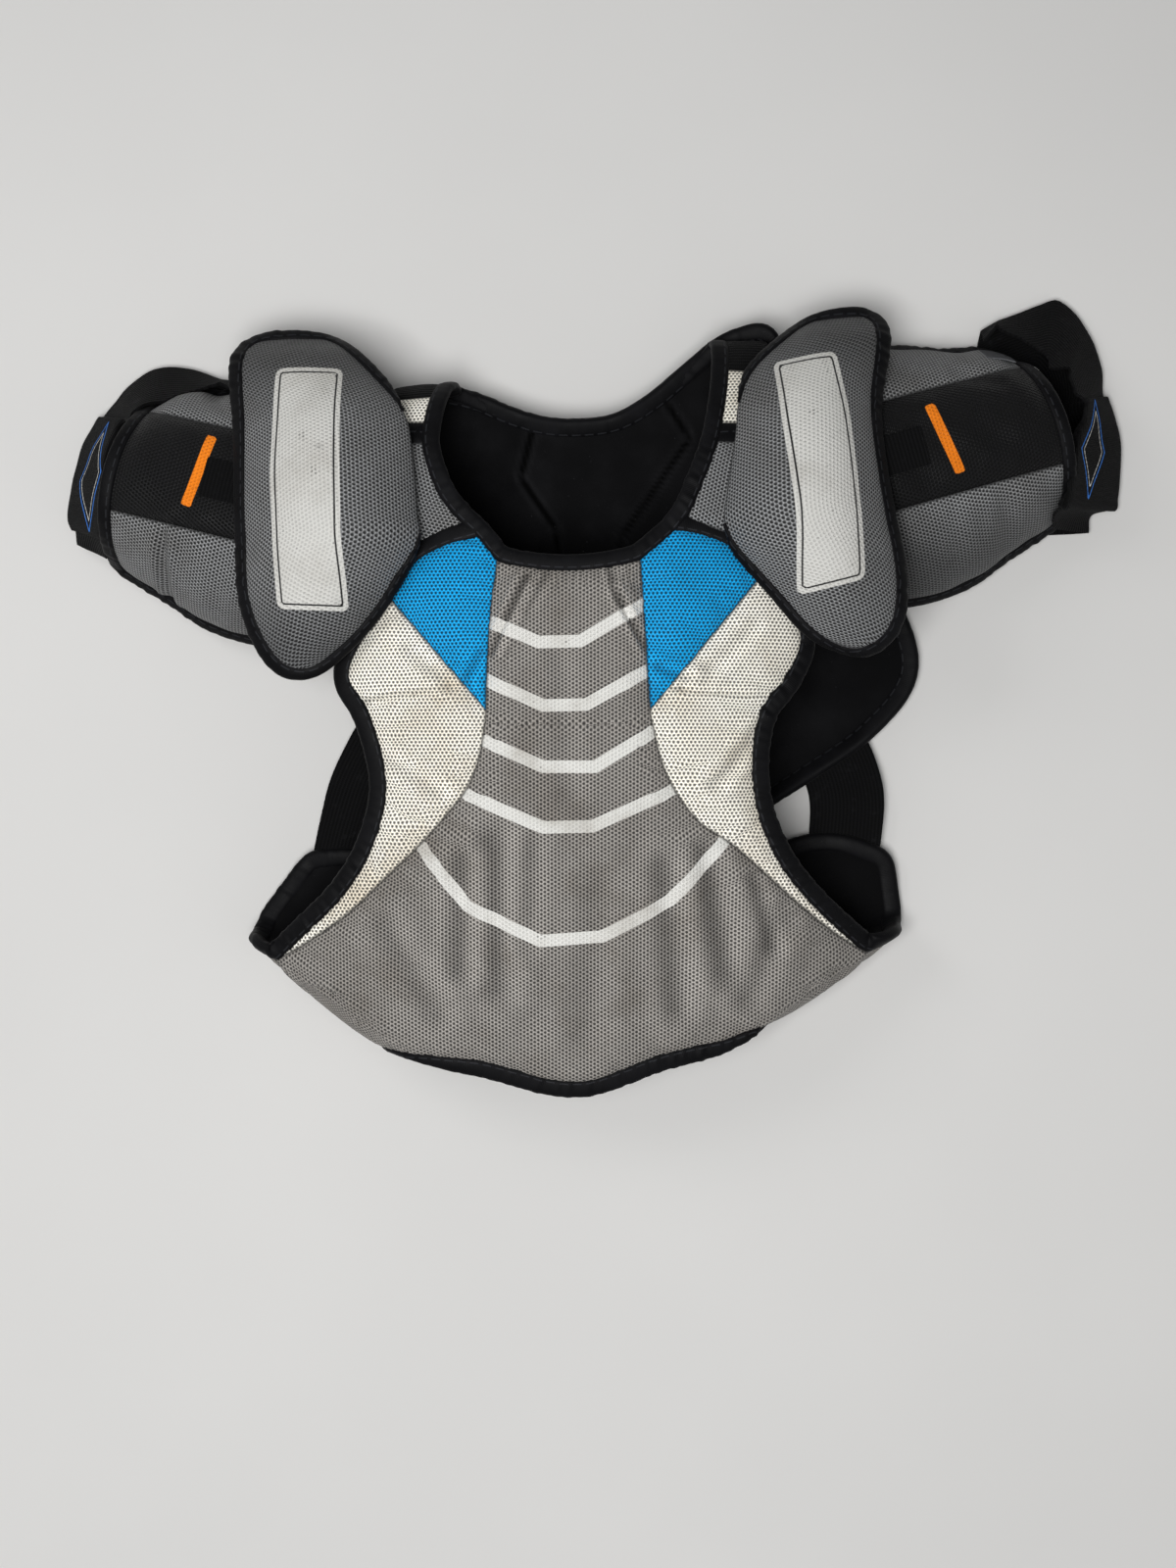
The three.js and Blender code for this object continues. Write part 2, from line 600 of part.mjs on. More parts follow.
function buildCap(side) {
  const { hand, capAt, capTurn, capWaist } = SIDES[side];
  const sheet = new Sheet();
  const shape = column(CAP_ROWS, (row) => [row.along, row.outer, row.inner]);
  const thickness = new Map();
  const grid = range(CAP_STEPS).map((t) => {
    const { x: along, y: outer, z: widest } = shape(t);
    const height = along / CAP_HALF;
    const drawn = Math.max(0, 1 - ((along - CAP_WAIST.middle) / CAP_WAIST.reach) ** 2);
    const inner = widest + capWaist * drawn;
    const row = range(CAP_COLUMNS).map((s) => {
      const across = 2 * s - 1;
      const dome = Math.max(0, (1 - across ** 2) * (1 - height ** 2));
      const out = mix(inner, outer, s);
      const z = CAP_Z - CAP_BOW * height ** 2 + CAP_TIP * height - CAP_LEAN * out + CAP_DOME * dome;
      const point = new THREE.Vector3(...laid(capAt, capTurn, hand, out, along), z);
      thickness.set(sheet.vertex(point), mix(PINCHED + COVER, CAP_FOAM, dome));
      return point;
    });
    return hand > 0 ? row : row.reverse();
  });
  const triangles = sheet.patch(grid);
  const normals = sheet.normals();
  const edge = edgeOf(triangles);
  addPiece(`cap_${side}_pad`, "greyMesh",
    slab(sheet, triangles, normals, (v) => thickness.get(v), () => 0, GAP));
  const innerEnd = hand > 0 ? 0 : CAP_COLUMNS;
  const sewn = range(CAP_STEPS).map((_, r) => sheet.vertex(grid[r][innerEnd])).slice(CAP_SEAM.from, CAP_SEAM.to);
  const start = sewn.find((v) => !sewn.includes(edge.get(v)));
  const loop = loopFrom(edge, edge.get(start)).filter((v) => !sewn.includes(v));
  addPiece(`cap_${side}_binding`, "blackTape",
    tape(places(sheet, normals, loop, -TAPE_COVER, PINCHED + COVER + TAPE_COVER), false, CAP_TAPE_WIDTH));
}

// Upper arm guards

function armShape() {
  const spans = column(ARM_ROWS, (row) => [row.along, row.low, row.high]);
  const heights = column(ARM_ROWS, (row) => [row.crest, row.edge, 0]);
  return (t, across) => {
    const { x: along, y: low, z: high } = spans(t);
    const { x: crest, y: edge } = heights(t);
    const place = across * 2 - 1;
    const b = mix(low, high, across);
    const arch = Math.max(0, 1 - Math.abs(place) ** ARM_POWER) ** ARM_FULLNESS;
    return [along + ARM_END_BOW * t ** 4 * (1 - place ** 2), b, mix(edge, crest, arch)];
  };
}

function buildArm(side) {
  const { hand, armAt, armTurn, tabFrom } = SIDES[side];
  const shape = armShape();
  const spans = column(ARM_ROWS, (row) => [0, row.low, row.high]);
  const point = (t, across, lift = 0) => {
    const [along, b, z] = shape(t, across);
    return new THREE.Vector3(...laid(armAt, armTurn, hand, along, b), z + lift);
  };
  const inOrder = (row) => (hand > 0 ? row : [...row].reverse());
  const sheet = new Sheet();
  const shareAt = (t, b) => (b - spans(t).y) / (spans(t).z - spans(t).y);
  const limits = [() => 1, (t) => shareAt(t, ARM_BAND.high), (t) => shareAt(t, ARM_BAND.low), () => 0];
  const pieces = ARM_PIECES.map(({ name, steps, finish }, i) => {
    const grid = range(steps).map((s) => inOrder(range(ARM_STEPS).map((t) => {
      return point(t, mix(limits[i](t), limits[i + 1](t), s));
    })));
    return { name, finish, triangles: sheet.patch(grid) };
  });
  const normals = sheet.normals();
  const edge = edgeOf(sheet.triangles);
  for (const { name, finish, triangles } of pieces) {
    addPiece(`arm_${side}_${name}`, finish,
      slab(sheet, triangles, normals, () => 0, (v) => -(edge.has(v) ? PINCHED : ARM_FOAM), GAP / 2));
  }
  const loop = loopFrom(edge, edge.keys().next().value);
  addPiece(`arm_${side}_binding`, "blackTape",
    tape(places(sheet, normals, loop, -PINCHED - TAPE_COVER, TAPE_COVER), true));

  const first = ARM_ROWS[0].along;
  const length = ARM_ROWS[ARM_ROWS.length - 1].along - first;
  const tab = new Sheet();
  const tabGrid = range(3).map((s) => inOrder(range(3).map((u) => {
    const t = (tabFrom + TAB.length * u - first) / length;
    return point(t, shareAt(t, mix(TAB.high, TAB.low, s)), TAB.lift);
  })));
  const tabTriangles = tab.patch(tabGrid);
  addPiece(`arm_${side}_tab`, "blackElastic", slab(tab, tabTriangles, tab.normals(), () => WEBBING, () => 0));
}

// Straps

function buildStrap(side) {
  const rows = STRAP_ROWS[side];
  const outer = column(rows, (row) => [...row.outer, STRAP_OUTER_Z]);
  const inner = column(rows, (row) => [...row.inner, row.z]);
  const strip = (from, to, steps, margin) => {
    const sheet = new Sheet();
    const grid = [1 + margin, 0.5, -margin].map((s) => range(steps).map((u) => {
      const t = mix(from, to, u);
      return outer(t).lerp(inner(t), s);
    }));
    const triangles = sheet.patch(side === "right" ? grid : grid.reverse());
    return [sheet, triangles, sheet.normals()];
  };
  addPiece(`arm_${side}_strap`, "blackElastic", slab(...strip(0, 1, STRAP_STEPS, 0), () => 0, () => -WEBBING));
  const { from, to } = FLAP_SPAN;
  addPiece(`arm_${side}_flap`, "blackTape",
    slab(...strip(from, to, FLAP_STEPS, FLAP_MARGIN), () => GAP + FLAP, () => GAP));
}

function buildElastic(side) {
  const { back, wing } = ELASTICS[side];
  const sheet = new Sheet();
  const triangles = sheet.patch(range(ELASTIC_STEPS).map((t) => range(2).map((s) => {
    const [x, y] = mixPoint(mixPoint(...back, s), mixPoint(...wing, s), t);
    return new THREE.Vector3(x, y, ELASTIC_Z + ELASTIC_ARCH * 4 * t * (1 - t));
  })));
  addPiece(`side_${side}_elastic`, "blackElastic",
    slab(sheet, triangles, sheet.normals(), () => WEBBING, () => 0));
}

/** A small tag on the guard's rear pad, as shares of the guard's length and width. */
function buildLabel() {
  const { armAt, armTurn, hand } = SIDES.left;
  const shape = armShape();
  const sheet = new Sheet();
  const triangles = sheet.patch([LABEL.high, LABEL.low].map((across) => range(2).map((u) => {
    const [along, b, z] = shape(mix(LABEL.from, LABEL.to, u), across);
    return new THREE.Vector3(...laid(armAt, armTurn, hand, along, b), z);
  })));
  addPiece("arm_left_label", "label",
    slab(sheet, triangles, sheet.normals(), () => LABEL_LIFT + LABEL.thickness, () => LABEL_LIFT));
}

const chest = buildChest();
buildBack();
buildNeckAndChestTapes(chest, buildYoke("right"), buildYoke("left"));
for (const side of Object.keys(SIDES)) {
  buildCap(side);
  buildArm(side);
  buildStrap(side);
  buildElastic(side);
}
buildLabel();

export default part;
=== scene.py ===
"""Hockey chest and shoulder protector, lying on its back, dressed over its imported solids.

Tables are in millimetres in the part's own layout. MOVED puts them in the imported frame, and MM turns them
to metres.
"""

import math

import bpy
import numpy as np
from bpy.props import FloatProperty, FloatVectorProperty, PointerProperty
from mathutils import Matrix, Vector


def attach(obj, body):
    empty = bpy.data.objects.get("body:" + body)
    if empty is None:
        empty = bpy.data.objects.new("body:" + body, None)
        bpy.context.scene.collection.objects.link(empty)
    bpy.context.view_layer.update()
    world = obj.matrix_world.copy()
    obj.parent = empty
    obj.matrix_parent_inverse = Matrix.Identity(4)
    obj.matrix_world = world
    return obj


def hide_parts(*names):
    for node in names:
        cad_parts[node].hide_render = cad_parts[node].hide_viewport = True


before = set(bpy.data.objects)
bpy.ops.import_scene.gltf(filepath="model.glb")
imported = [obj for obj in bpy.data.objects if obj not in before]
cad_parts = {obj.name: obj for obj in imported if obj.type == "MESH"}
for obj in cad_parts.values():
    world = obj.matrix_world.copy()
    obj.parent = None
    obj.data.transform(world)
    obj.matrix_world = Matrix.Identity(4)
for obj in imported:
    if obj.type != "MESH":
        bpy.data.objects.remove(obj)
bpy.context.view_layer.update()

bl_info = {
    "name": "Hockey chest protector",
    "version": (1, 0, 0),
    "blender": (4, 5, 0),
    "location": "3D View > Sidebar > Protector",
    "description": "Builds the padded cloth, tapes and straps of a hockey chest protector",
    "category": "Object",
}

MM = 0.001
MOVED = np.array([-0.65, -2.45, 0.0])
# Millimetres in one unit of cloth coordinates, and the distance from a print that stands for none
UV_MM = 100.0
NO_PRINT = 99.0

# Walls, tapes and gaps
COVER = 2.3
FOAM = 8.0
CAP_FOAM = 10.0
ARM_FOAM = 9.0
LINING = 1.7
PINCHED = 3.5
TAPE_COVER = 1.1
TAPE_WIDTH = 11.4
NECK_TAPE_WIDTH = 10.0
CAP_TAPE_WIDTH = 10.5
WEBBING = 2.0
FLAP = 3.0
GAP = 0.4
# How far cloth is drawn down at a seam, and the angle in degrees past which an edge is sharp
SEAM_SINK = 0.9
SHARP_EDGE = 50
# Binding tape: step along it, its section's corners, reach inside the edge and squareness, gathers' lengths
TAPE_STEP = 1.5
TAPE_SIDES = 24
TAPE_INSIDE = 1.6
TAPE_POWER = 2.8
TAPE_GATHERS = (6.3, 9.7, 15.1)
# Added to the cloth coordinates of the tape's under side, so that no stitches are drawn there
TAPE_UNDER = 40.0
# Cloth of the chest covers: settings, where a shrink below nothing is slack, furthest move, steps, scale
CLOTH = {
    "quality": 6, "mass": 0.15, "tension_stiffness": 12, "compression_stiffness": 12, "shear_stiffness": 6,
    "bending_stiffness": 0.6, "air_damping": 3, "vertex_group_mass": "seams", "shrink_min": -0.012,
    "use_pressure": True, "uniform_pressure_force": 1.2,
}
CLOTH_MOST = 2.5
CLOTH_STEPS = 18
CLOTH_SCALE = 4.0

# Chest sheet: its crest, and how far it falls over a length to the hem, to the neck and to the sides
CHEST_CREST = (-15.0, 20.0, 110.0)
HEM_FALL = (40.0, 275.0)
NECK_FALL = (6.0, 80.0)
SIDE_FALL = (50.0, 200.0)
SIDE_POWER = 2.2
# Shares of a side's length where blue turns to white and where the white ends, and its edges' columns below
BLUE_SHARE = 3 / 13
WHITE_END = 0.995
CHEST_COLUMNS = {"right": (0, 2), "left": (4, 6)}
# Chest sections from neck to rib corner: x and y of armhole edge, seam, seam, armhole edge
CHEST_ROWS = np.array([
    [-73, 101, -61, 85, 29, 86, 51, 105],
    [-95, 95, -65, 54, 31, 54, 69, 102],
    [-114, 84, -67, 22, 33, 20, 88, 94],
    [-129, 62, -68, -9, 35, -9, 106, 77],
    [-145, 40, -69, -20, 37, -20, 125, 58],
    [-156, 14, -71, -33, 40, -34, 131, 36],
    [-145, -6, -75, -47, 45, -48, 121, 12],
    [-137, -28, -82, -61, 53, -63, 106, -8],
    [-132, -53, -95, -77, 67, -80, 100, -40],
    [-135, -77, -111, -94.5, 89, -95, 104, -74],
    [-146, -105, -132, -114.5, 112, -115.5, 118, -105],
    [-164, -130, -157, -138, 134, -135, 137, -129],
    [-186, -151, -184, -157, 157, -153, 158, -149],
    [-206, -170, -206, -170, 177, -165, 177, -165],
], float)
# Line along which each wing turns under
FOLD = {"right": ((-206, -170), (-117, -229.3)), "left": ((177, -165), (106, -212))}
# Outermost line of each wing's roll, and the line where it comes to the floor
ROLL_SIDE = {"right": ((-219, -162), (-137, -226)), "left": ((194, -156), (112, -209))}
ROLL_FLOOR = {"right": ((-213, -146), (-105, -222)), "left": ((195, -142), (96, -206))}
# The hem from the right fold to the left one, as y at even steps
HEM = np.array([-229.3, -231.1, -233.2, -239, -245, -246, -239, -230.2, -224.5, -220, -212], float)
# Free end of each wing, from the armhole to the hem
WING_ENDS = {
    "right": [(-186, -110), (-157, -110), (-128, -120), (-106, -144), (-90, -174)],
    "left": [(190, -108), (159, -99), (128, -106), (106, -132), (86, -160)],
}
NECK_DIP = 6.5
WING_FLOOR_Z = 5.0
WING_END_LIFT = 4.0
ROLL_START = 0.42
WING_ROLL_STEPS = 26
WING_RUN_STEPS = 16
# Share of the tape's width that shows, by steps from a fold, along a wing's hem and along the chest's
WING_TAPE = ([0, 11, 26, 42], [0.45, 0.1, 0.6, 1.0])
HEM_TAPE = ([0, 12, 18], [0.45, 0.92, 1.0])

# Pale lines printed across the centre cover, as x and y of their corners
STRIPE_HALF = 3.9
STRIPE_LOWEST_Z = 50
STRIPES = [
    [(-65.5, 46.5), (-34.6, 33.0), (-8.9, 33.6), (30.0, 57.0)],
    [(-68.5, 10.5), (-31.6, -6.2), (-5.2, -5.6), (35.4, 17.1)],
    [(-67.5, -28.5), (-31.7, -44.4), (0.4, -44.4), (35.5, -22.8)],
    [(-79.0, -62.3), (-31.8, -82.0), (-1.5, -81.4), (49.7, -58.6)],
    [(-108.0, -95.6), (-80.1, -131.5), (-33.9, -153.2), (4.7, -150.7), (46.9, -128.5), (81.6, -91.4)],
]

# Where a crease's copy lies that lights its far side, and the ridges beside it, as shares of its size
CREASE_SHADE = (7, 0, 0)
CREASE_RIDGE = 0.45
CREASE_RIDGE_AT = 2.2
# Creases as x, y at both ends, half width and depth
CENTRE_CREASES = [
    (-42, 75, -65, 26, 1.9, 3.2), (9, 82, 12, 66, 1.9, 2.0), (13, 63, 32, 29, 1.9, 3.2),
    (-30, 76, -44, 54, 2.4, 0.9), (-82, -104, -84, -172, 6.0, 2.3), (-62, -90, -60, -186, 7.0, 2.0),
    (44, -108, 52, -196, 7.0, 2.1),
    (70, -100, 84, -176, 7.0, 2.2), (2, -120, -6, -214, 9.0, 1.2), (-132, -146, -100, -200, 7.0, 1.6),
    (118, -142, 96, -190, 7.0, 1.6), (-24, 24, -18, -60, 6.0, 0.7), (-40, -92, -44, -160, 5.0, 1.1),
    (100, -116, 112, -160, 4.0, 1.4),
]
SIDE_CREASES = [
    (-146, -3, -78, 6, 1.7, 2.8), (50, 4, 118, 1, 1.7, 2.6), (-138, -34, -98, -60, 4.0, 1.1),
    (104, -20, 74, -56, 4.0, 1.1), (-118, 30, -92, 8, 3.6, 0.8), (98, 44, 66, 12, 3.6, 0.8),
    (-82, 9, -71, 27, 2.4, 1.8), (38, 18, 58, 12, 2.4, 1.8),
]
ARM_CREASES = [
    (-278, 112, -281, 66, 3.0, 3.6), (-262, 118, -266, 96, 4.0, 1.0), (-236, 96, -244, 66, 5.0, 1.2),
    (262, 146, 270, 104, 5.0, 1.2), (230, 128, 236, 92, 4.5, 1.0), (-250, 200, -236, 184, 4.0, 1.0),
    (236, 212, 262, 204, 4.0, 1.0),
]
# Places where the white cloth has yellowed, as x, y, reach and strength
WHITE_STAINS = [
    (-84, 2, 24, 0.45), (-100, -52, 30, 0.3), (-150, -122, 36, 0.3), (52, 8, 22, 0.4), (72, -44, 30, 0.3),
    (132, -128, 34, 0.3), (-132, 8, 22, 0.2), (116, 24, 22, 0.2),
]

# The back's dip at the neck, and how its rim turns up
BACK_NECK_POWER = 1.6
BACK_RIM_POWER = 14
BACK_RIM_RISE = 4
# The back's neck edge from right to left, as y at even steps
BACK_NECK = np.array([196, 198, 194, 184.5, 178, 177, 180.5, 193.5, 213, 232, 240], float)
# Back sections from neck to tip: x and y of both ends, dip of the middle, rise
BACK_ROWS = np.array([
    [-128, 198, 112, 234, 44, 25], [-136, 168, 134, 184, 26, 9], [-143, 115, 166, 128, 4, 0],
    [-145, 60, 195, 66, 0, 0], [-140, 16, 207, 20, 0, 0], [-112, -14, 180, -18, 0, 0],
    [-72, -42, 136, -50, 0, 0], [-20, -78, 88, -82, 0, 0],
], float)
# Seams and folds of the back as creases, and the middle and half width of its spine panel
BACK_SEAMS = [
    (-40, 181, -48, 154, 1.7, 1.7), (-48, 151, -26, 117, 1.7, 1.7), (-25, 113, -20, -64, 1.7, 1.5),
    (47, 197, 60, 180, 1.7, 1.4), (62, 177, 19, 111, 1.7, 1.4), (18, 107, 15, -74, 1.7, 1.5),
]
LINING_FOLDS = [(-76, 190, -92, 156, 2.6, 1.0), (150, 20, 118, -34, 3.0, 0.8)]
BACK_PANEL = (5.0, 45.0)

YOKE_OUTER_FALL = 3.0
YOKE_PUFF = 1.6
# Steps by which a yoke's first cloth goes on under the chest's tape
YOKE_TUCK = (2.5, 5.0, 7.5)
# Yoke sections from the chest seam over the shoulder: x and y on the neck side, on the outer side, height
YOKE_ROWS = {
    "right": np.array([
        [-86, 113, -127, 98, 101], [-97, 127, -131, 121, 99], [-104, 144, -133, 142, 96],
        [-108, 159, -134, 159, 92], [-108, 172, -134, 172, 87], [-105, 190, -133, 188, 77],
        [-101, 202, -131, 200, 63], [-98, 205.5, -129, 203.5, 49], [-97, 202, -128, 200, 35],
    ], float),
    "left": np.array([
        [61, 119, 104, 104, 101], [67, 134, 106, 127, 99], [73, 149, 107, 146, 96],
        [77, 161, 109, 160, 92], [80, 173, 110, 173, 86], [84, 196, 112, 195, 75],
        [86, 217, 114, 216, 63], [86, 231, 114, 231, 52], [85, 236, 113, 237, 38],
    ], float),
}
# Where the neck tape runs on from each yoke along the back's neck edge
NECK_TAPE_ENDS = {
    "right": [(-95.5, 199.5, 32.5), (-91, 198.5, 31), (-84, 197, 29.5), (-72, 191.5, 28), (-59, 186, 26.5)],
    "left": [(84.5, 233.5, 34), (82, 229, 31.5), (76, 224, 29.5), (66, 215, 28), (54, 204.5, 26.5)],
}
YOKE_PIECES = [
    ("front_cover", "grey_mesh"), ("cross_tape", "black_tape"), ("top_cover", "white_mesh"),
    ("back_band", "black_elastic"),
]
# Shares of a yoke's length where its cloths meet
YOKE_JOINS = {"right": (0, 0.4, 0.525, 0.66, 1), "left": (0, 0.395, 0.515, 0.72, 1)}

# Shoulder cap in its own frame: height along the body, outer edge, inner edge
CAP_ROWS = {
    "right": np.array([
        [104, 49, 3], [94, 55, -11], [71, 53, -33], [51, 50.5, -48], [23, 49, -53], [-11, 48, -56],
        [-27, 47, -57], [-48, 46.5, -43], [-63, 45, -34], [-81, 39.5, -20], [-95, 32, -5], [-104, 25, 5],
    ], float),
    "left": np.array([
        [105, 55, 19], [95, 57.5, 3], [74, 51, -24], [55, 45, -35], [33, 41.5, -40], [-2, 41, -50],
        [-18, 41.5, -54], [-31, 42, -50], [-48, 43.5, -38], [-68, 43.8, -24], [-85, 41.5, -13], [-95, 37, -3],
        [-103, 28, 12],
    ], float),
}
CAP_HALF = 104.0
CAP_DOME = 24.0
CAP_Z = 98.0
CAP_BOW = 16.0
CAP_TIP = -16.0
CAP_LEAN = 0.1
CAP_SEAM = (0.27, 0.52)
CAP_TAPE_TAPER = 8
CAP_TOP_ARCH = 2.5
CAP_TOE_ARCH = 3.0
CAP_TOP_DROP = 12.0
# Plain pale panel printed on each cap: its ends as outward and headward, half width, corner and slant
CAP_PANEL = {
    "right": {"ends": ((10.4, 79.0), (4.8, -69.4)), "half": 19.6, "corner": 4.0, "skew": 0.055},
    "left": {"ends": ((7.0, 75.5), (3.2, -66.0)), "half": 18.3, "corner": 4.0, "skew": 0.117},
}

# Upper arm guard in its own frame: along the arm, chest side edge, head side edge, crest, edge height
ARM_ROWS = np.array([
    [-20, -87, 78, 79, 25], [10, -90.5, 78, 80, 23], [40, -88, 71, 79, 19],
    [65, -79, 62, 77, 16], [88, -72, 57, 74, 14], [106, -66, 45, 69, 14],
], float)
ARM_END_BOW = 7.0
ARM_POWER = 2.2
ARM_TAPE_FLARE = 0.8
ARM_TAPE_SHARE = 0.68
ARM_FULLNESS = 0.6
ARM_BAND = (-34.0, 37.0)
ARM_PIECES = [("rear_pad", "grey_mesh"), ("middle_pad", "black_mesh"), ("front_pad", "grey_mesh")]
TAB = {"length": 30.0, "low": -12.0, "high": 13.0, "lift": 1.7}
# One slim bar printed on each middle pad: its ends as along and across, and half width
ARM_BARS = {"right": ((56.0, 27.0), (61.0, -20.0)), "left": ((35.0, 25.0), (42.0, -22.0))}
BAR_HALF = 3.4

# Per side: hand, painted shade on the guard's chest side and on the cap's toe, and where caps, guards and
# tabs lie
SIDES = {
    "right": {"hand": -1, "arm_grime": 0.15, "toe_painted_shade": 1.4, "cap_at": (-170, 125), "cap_turn": 0,
              "arm_at": (-197.6, 127.6), "arm_turn": 14, "tab_from": 14},
    "left": {"hand": 1, "arm_grime": 1.7, "toe_painted_shade": 0.3, "cap_at": (136, 135), "cap_turn": 7,
             "arm_at": (188, 153.5), "arm_turn": 16, "tab_from": -13},
}

# Heights of a strap's edge near the floor and of the half turned in under it
STRAP_OUTER_Z = 7.0
STRAP_FLOOR_Z = 2.6
# Arm straps from the head side round: x and y of the edge near the floor, and x, y and height near the arm
STRAP_ROWS = {
    "right": np.array([
        [-250, 216, -248, 211, 26], [-262, 220, -258, 207, 28], [-278, 224, -270, 203, 31],
        [-290.5, 223.6, -282, 198.6, 34], [-302.4, 218.6, -292, 195, 38], [-314.5, 208.5, -299.5, 191, 41],
        [-324.6, 196.4, -305, 186, 44], [-333.6, 182.4, -310, 178.5, 46], [-340.7, 168.3, -314.5, 169, 47],
        [-344.5, 155, -317.5, 158, 47], [-348.5, 138, -319.5, 144, 47], [-349.5, 123, -321, 122, 45],
        [-347.6, 114.8, -322, 106, 39], [-346.5, 105, -322, 93, 30],
    ], float),
    "left": np.array([
        [271.4, 255.4, 269, 251, 20], [285.2, 260.6, 279.5, 243, 24], [298.3, 265.2, 291, 234, 28],
        [310.8, 268.8, 297.4, 225.3, 32], [322.2, 260.4, 303.8, 220, 36], [331.3, 246.8, 310.3, 218, 39],
        [336.9, 234.3, 313.1, 209.5, 41], [340.9, 220.9, 316.7, 203, 42], [341.4, 206.1, 321.7, 199, 43],
        [345.9, 191.6, 319.5, 184, 46], [349.4, 177.8, 316, 173, 48], [350.2, 160.7, 313, 160.7, 50],
        [349.5, 148.3, 309.5, 144.7, 56], [348.2, 136, 306.5, 131.6, 59], [346.9, 128.5, 305, 124, 56],
        [333.8, 123.9, 301, 120.5, 45], [331.8, 112.8, 302, 112.3, 32],
    ], float),
}
STRAP_ROOTS = {"right": (-232, 208, 20), "left": (259, 243, 17)}
STRAP_RETURN = 46.0
FLAP_SPAN = {"right": (0.5, 0.925), "left": (0.51, 0.875)}
FLAP_MARGINS = (0.03, 0.04)
# Plain diamond stitched on each flap: where its middle is on the flap's cloth, and half its length and width
FLAP_MARKS = {"right": (6.0, 8.0, 36.0, 17.0), "left": (-5.0, -9.0, 34.0, 15.0)}

# Heights of an elastic at the back and at the wing, and how far it arches between them
ELASTIC_ENDS_Z = (2.5, 7.0)
ELASTIC_ARCH = 5.0
# Edges of the elastics from the back to the wing, as x and y, the edge nearer the wearer's right first
ELASTICS = {
    "right": (
        np.array([(-144, 8), (-160, -18), (-175, -49), (-181.5, -73), (-187, -98), (-190, -112)], float),
        np.array([(-108, -18), (-119, -38), (-131, -60), (-139, -80), (-146, -98), (-150, -112)], float),
    ),
    "left": (
        np.array([(126, -30), (136, -44), (142, -57), (144.5, -70), (144, -87), (143, -100)], float),
        np.array([(170, -6), (184, -28), (192, -51), (194, -69), (192, -92), (190, -104)], float),
    ),
}
LABEL = {"from": 0.77, "to": 0.94, "low": 0.915, "high": 0.985, "lift": 1.0, "thickness": 0.8}

# Stage in metres: the floor, the lights as place, size and power, the sky and the camera
FLOOR_HALF = 3.0
FLOOR_Z = -0.0004
LIGHTS = {
    "key_light": ((-0.3, -0.4, 2.1), 0.9, 36),
    "side_light": ((-1.2, 0.7, 1.3), 0.8, 6),
    "fill_light": ((1.2, -0.6, 1.5), 1.4, 3),
}
SKY_COLOUR = "#eceef0"
SKY_STRENGTH = 0.14
CAMERA_PLACE = (-0.00461, -0.05789, 1.6)
CAMERA_LENS = 54.55


def linear(code):
    """An sRGB hex colour as linear red, green and blue."""
    parts = np.array([int(code[i:i + 2], 16) for i in (1, 3, 5)]) / 255
    return tuple(np.where(parts <= 0.04045, parts / 12.92, ((parts + 0.055) / 1.055) ** 2.4))


def colour(name, code, description):
    """A colour that a user may change, given as sRGB hex."""
    return FloatVectorProperty(name=name, description=description, subtype="COLOR", size=3, min=0, max=1,
                               default=linear(code))


def length(name, value, description):
    """A length that a user may change, given in millimetres and kept in metres."""
    return FloatProperty(name=name, description=description, default=value * MM, min=0, unit="LENGTH")


class ProtectorSizes(bpy.types.PropertyGroup):
    """Sizes of the padding, the tape and the weave"""
    chest_puff: length("Chest puff", 2.6, "How far the chest's cloth stands up between its seams")
    cap_puff: length("Cap puff", 1.6, "How far a shoulder cap's cloth stands up inside its tape")
    arm_puff: length("Arm puff", 3.0, "How far an arm pad stands up between its seams")
    seam_reach: length("Seam reach", 6.0, "How far from a seam the cloth is still drawn down")
    tape_pucker: length("Tape pucker", 0.34, "Depth of the gathers in the binding tape")
    weave_pitch: length("Weave pitch", 2.55, "Distance between neighbouring holes of the mesh")


class ProtectorColours(bpy.types.PropertyGroup):
    """Colours of the cloth, the tape and the prints"""
    grey: colour("Grey mesh", "#8d8984", "Thread of the grey mesh on the chest")
    guard: colour("Guard mesh", "#747576", "Thread of the grey mesh on the caps and arm guards")
    white: colour("White mesh", "#f4f0e4", "Thread of the white mesh")
    blue: colour("Blue mesh", "#119ad9", "Thread of the blue mesh")
    black_mesh: colour("Black mesh", "#131314", "Thread of the black mesh")
    tape: colour("Tape", "#09090b", "Binding tape")
    lining: colour("Lining", "#0c0c0d", "Inner cloth")
    elastic: colour("Elastic", "#0c0c0d", "Elastic and webbing")
    stripe: colour("Stripes", "#e4e3de", "Printed lines and panels")
    accent: colour("Accent", "#ff8a1c", "Printed bar on the arm guards")
    line: colour("Flap line", "#3f7fd8", "Outline printed on the strap flaps")
    tag: colour("Tag", "#5a5b5e", "Woven tag")
    floor: colour("Floor", "#d9d8d6", "Studio floor")


# Curves and surfaces

def curve(rows, t):
    """A uniform Catmull-Rom curve through a table's rows, read at shares t of the way through them."""
    rows = np.asarray(rows, float)
    rows = np.vstack([2 * rows[:1] - rows[1:2], rows, 2 * rows[-1:] - rows[-2:-1]])
    place = np.clip(np.asarray(t, float), 0, 1) * (len(rows) - 3)
    step = np.minimum(place.astype(int), len(rows) - 4)
    w = (place - step)[..., None]
    a, b, c, d = (rows[step + i] for i in range(4))
    return b + 0.5 * w * (c - a + w * (2 * a - 5 * b + 4 * c - d + w * (3 * (b - c) + d - a)))


def mix(a, b, share):
    """The point a share of the way from a to b."""
    return a + (b - a) * share


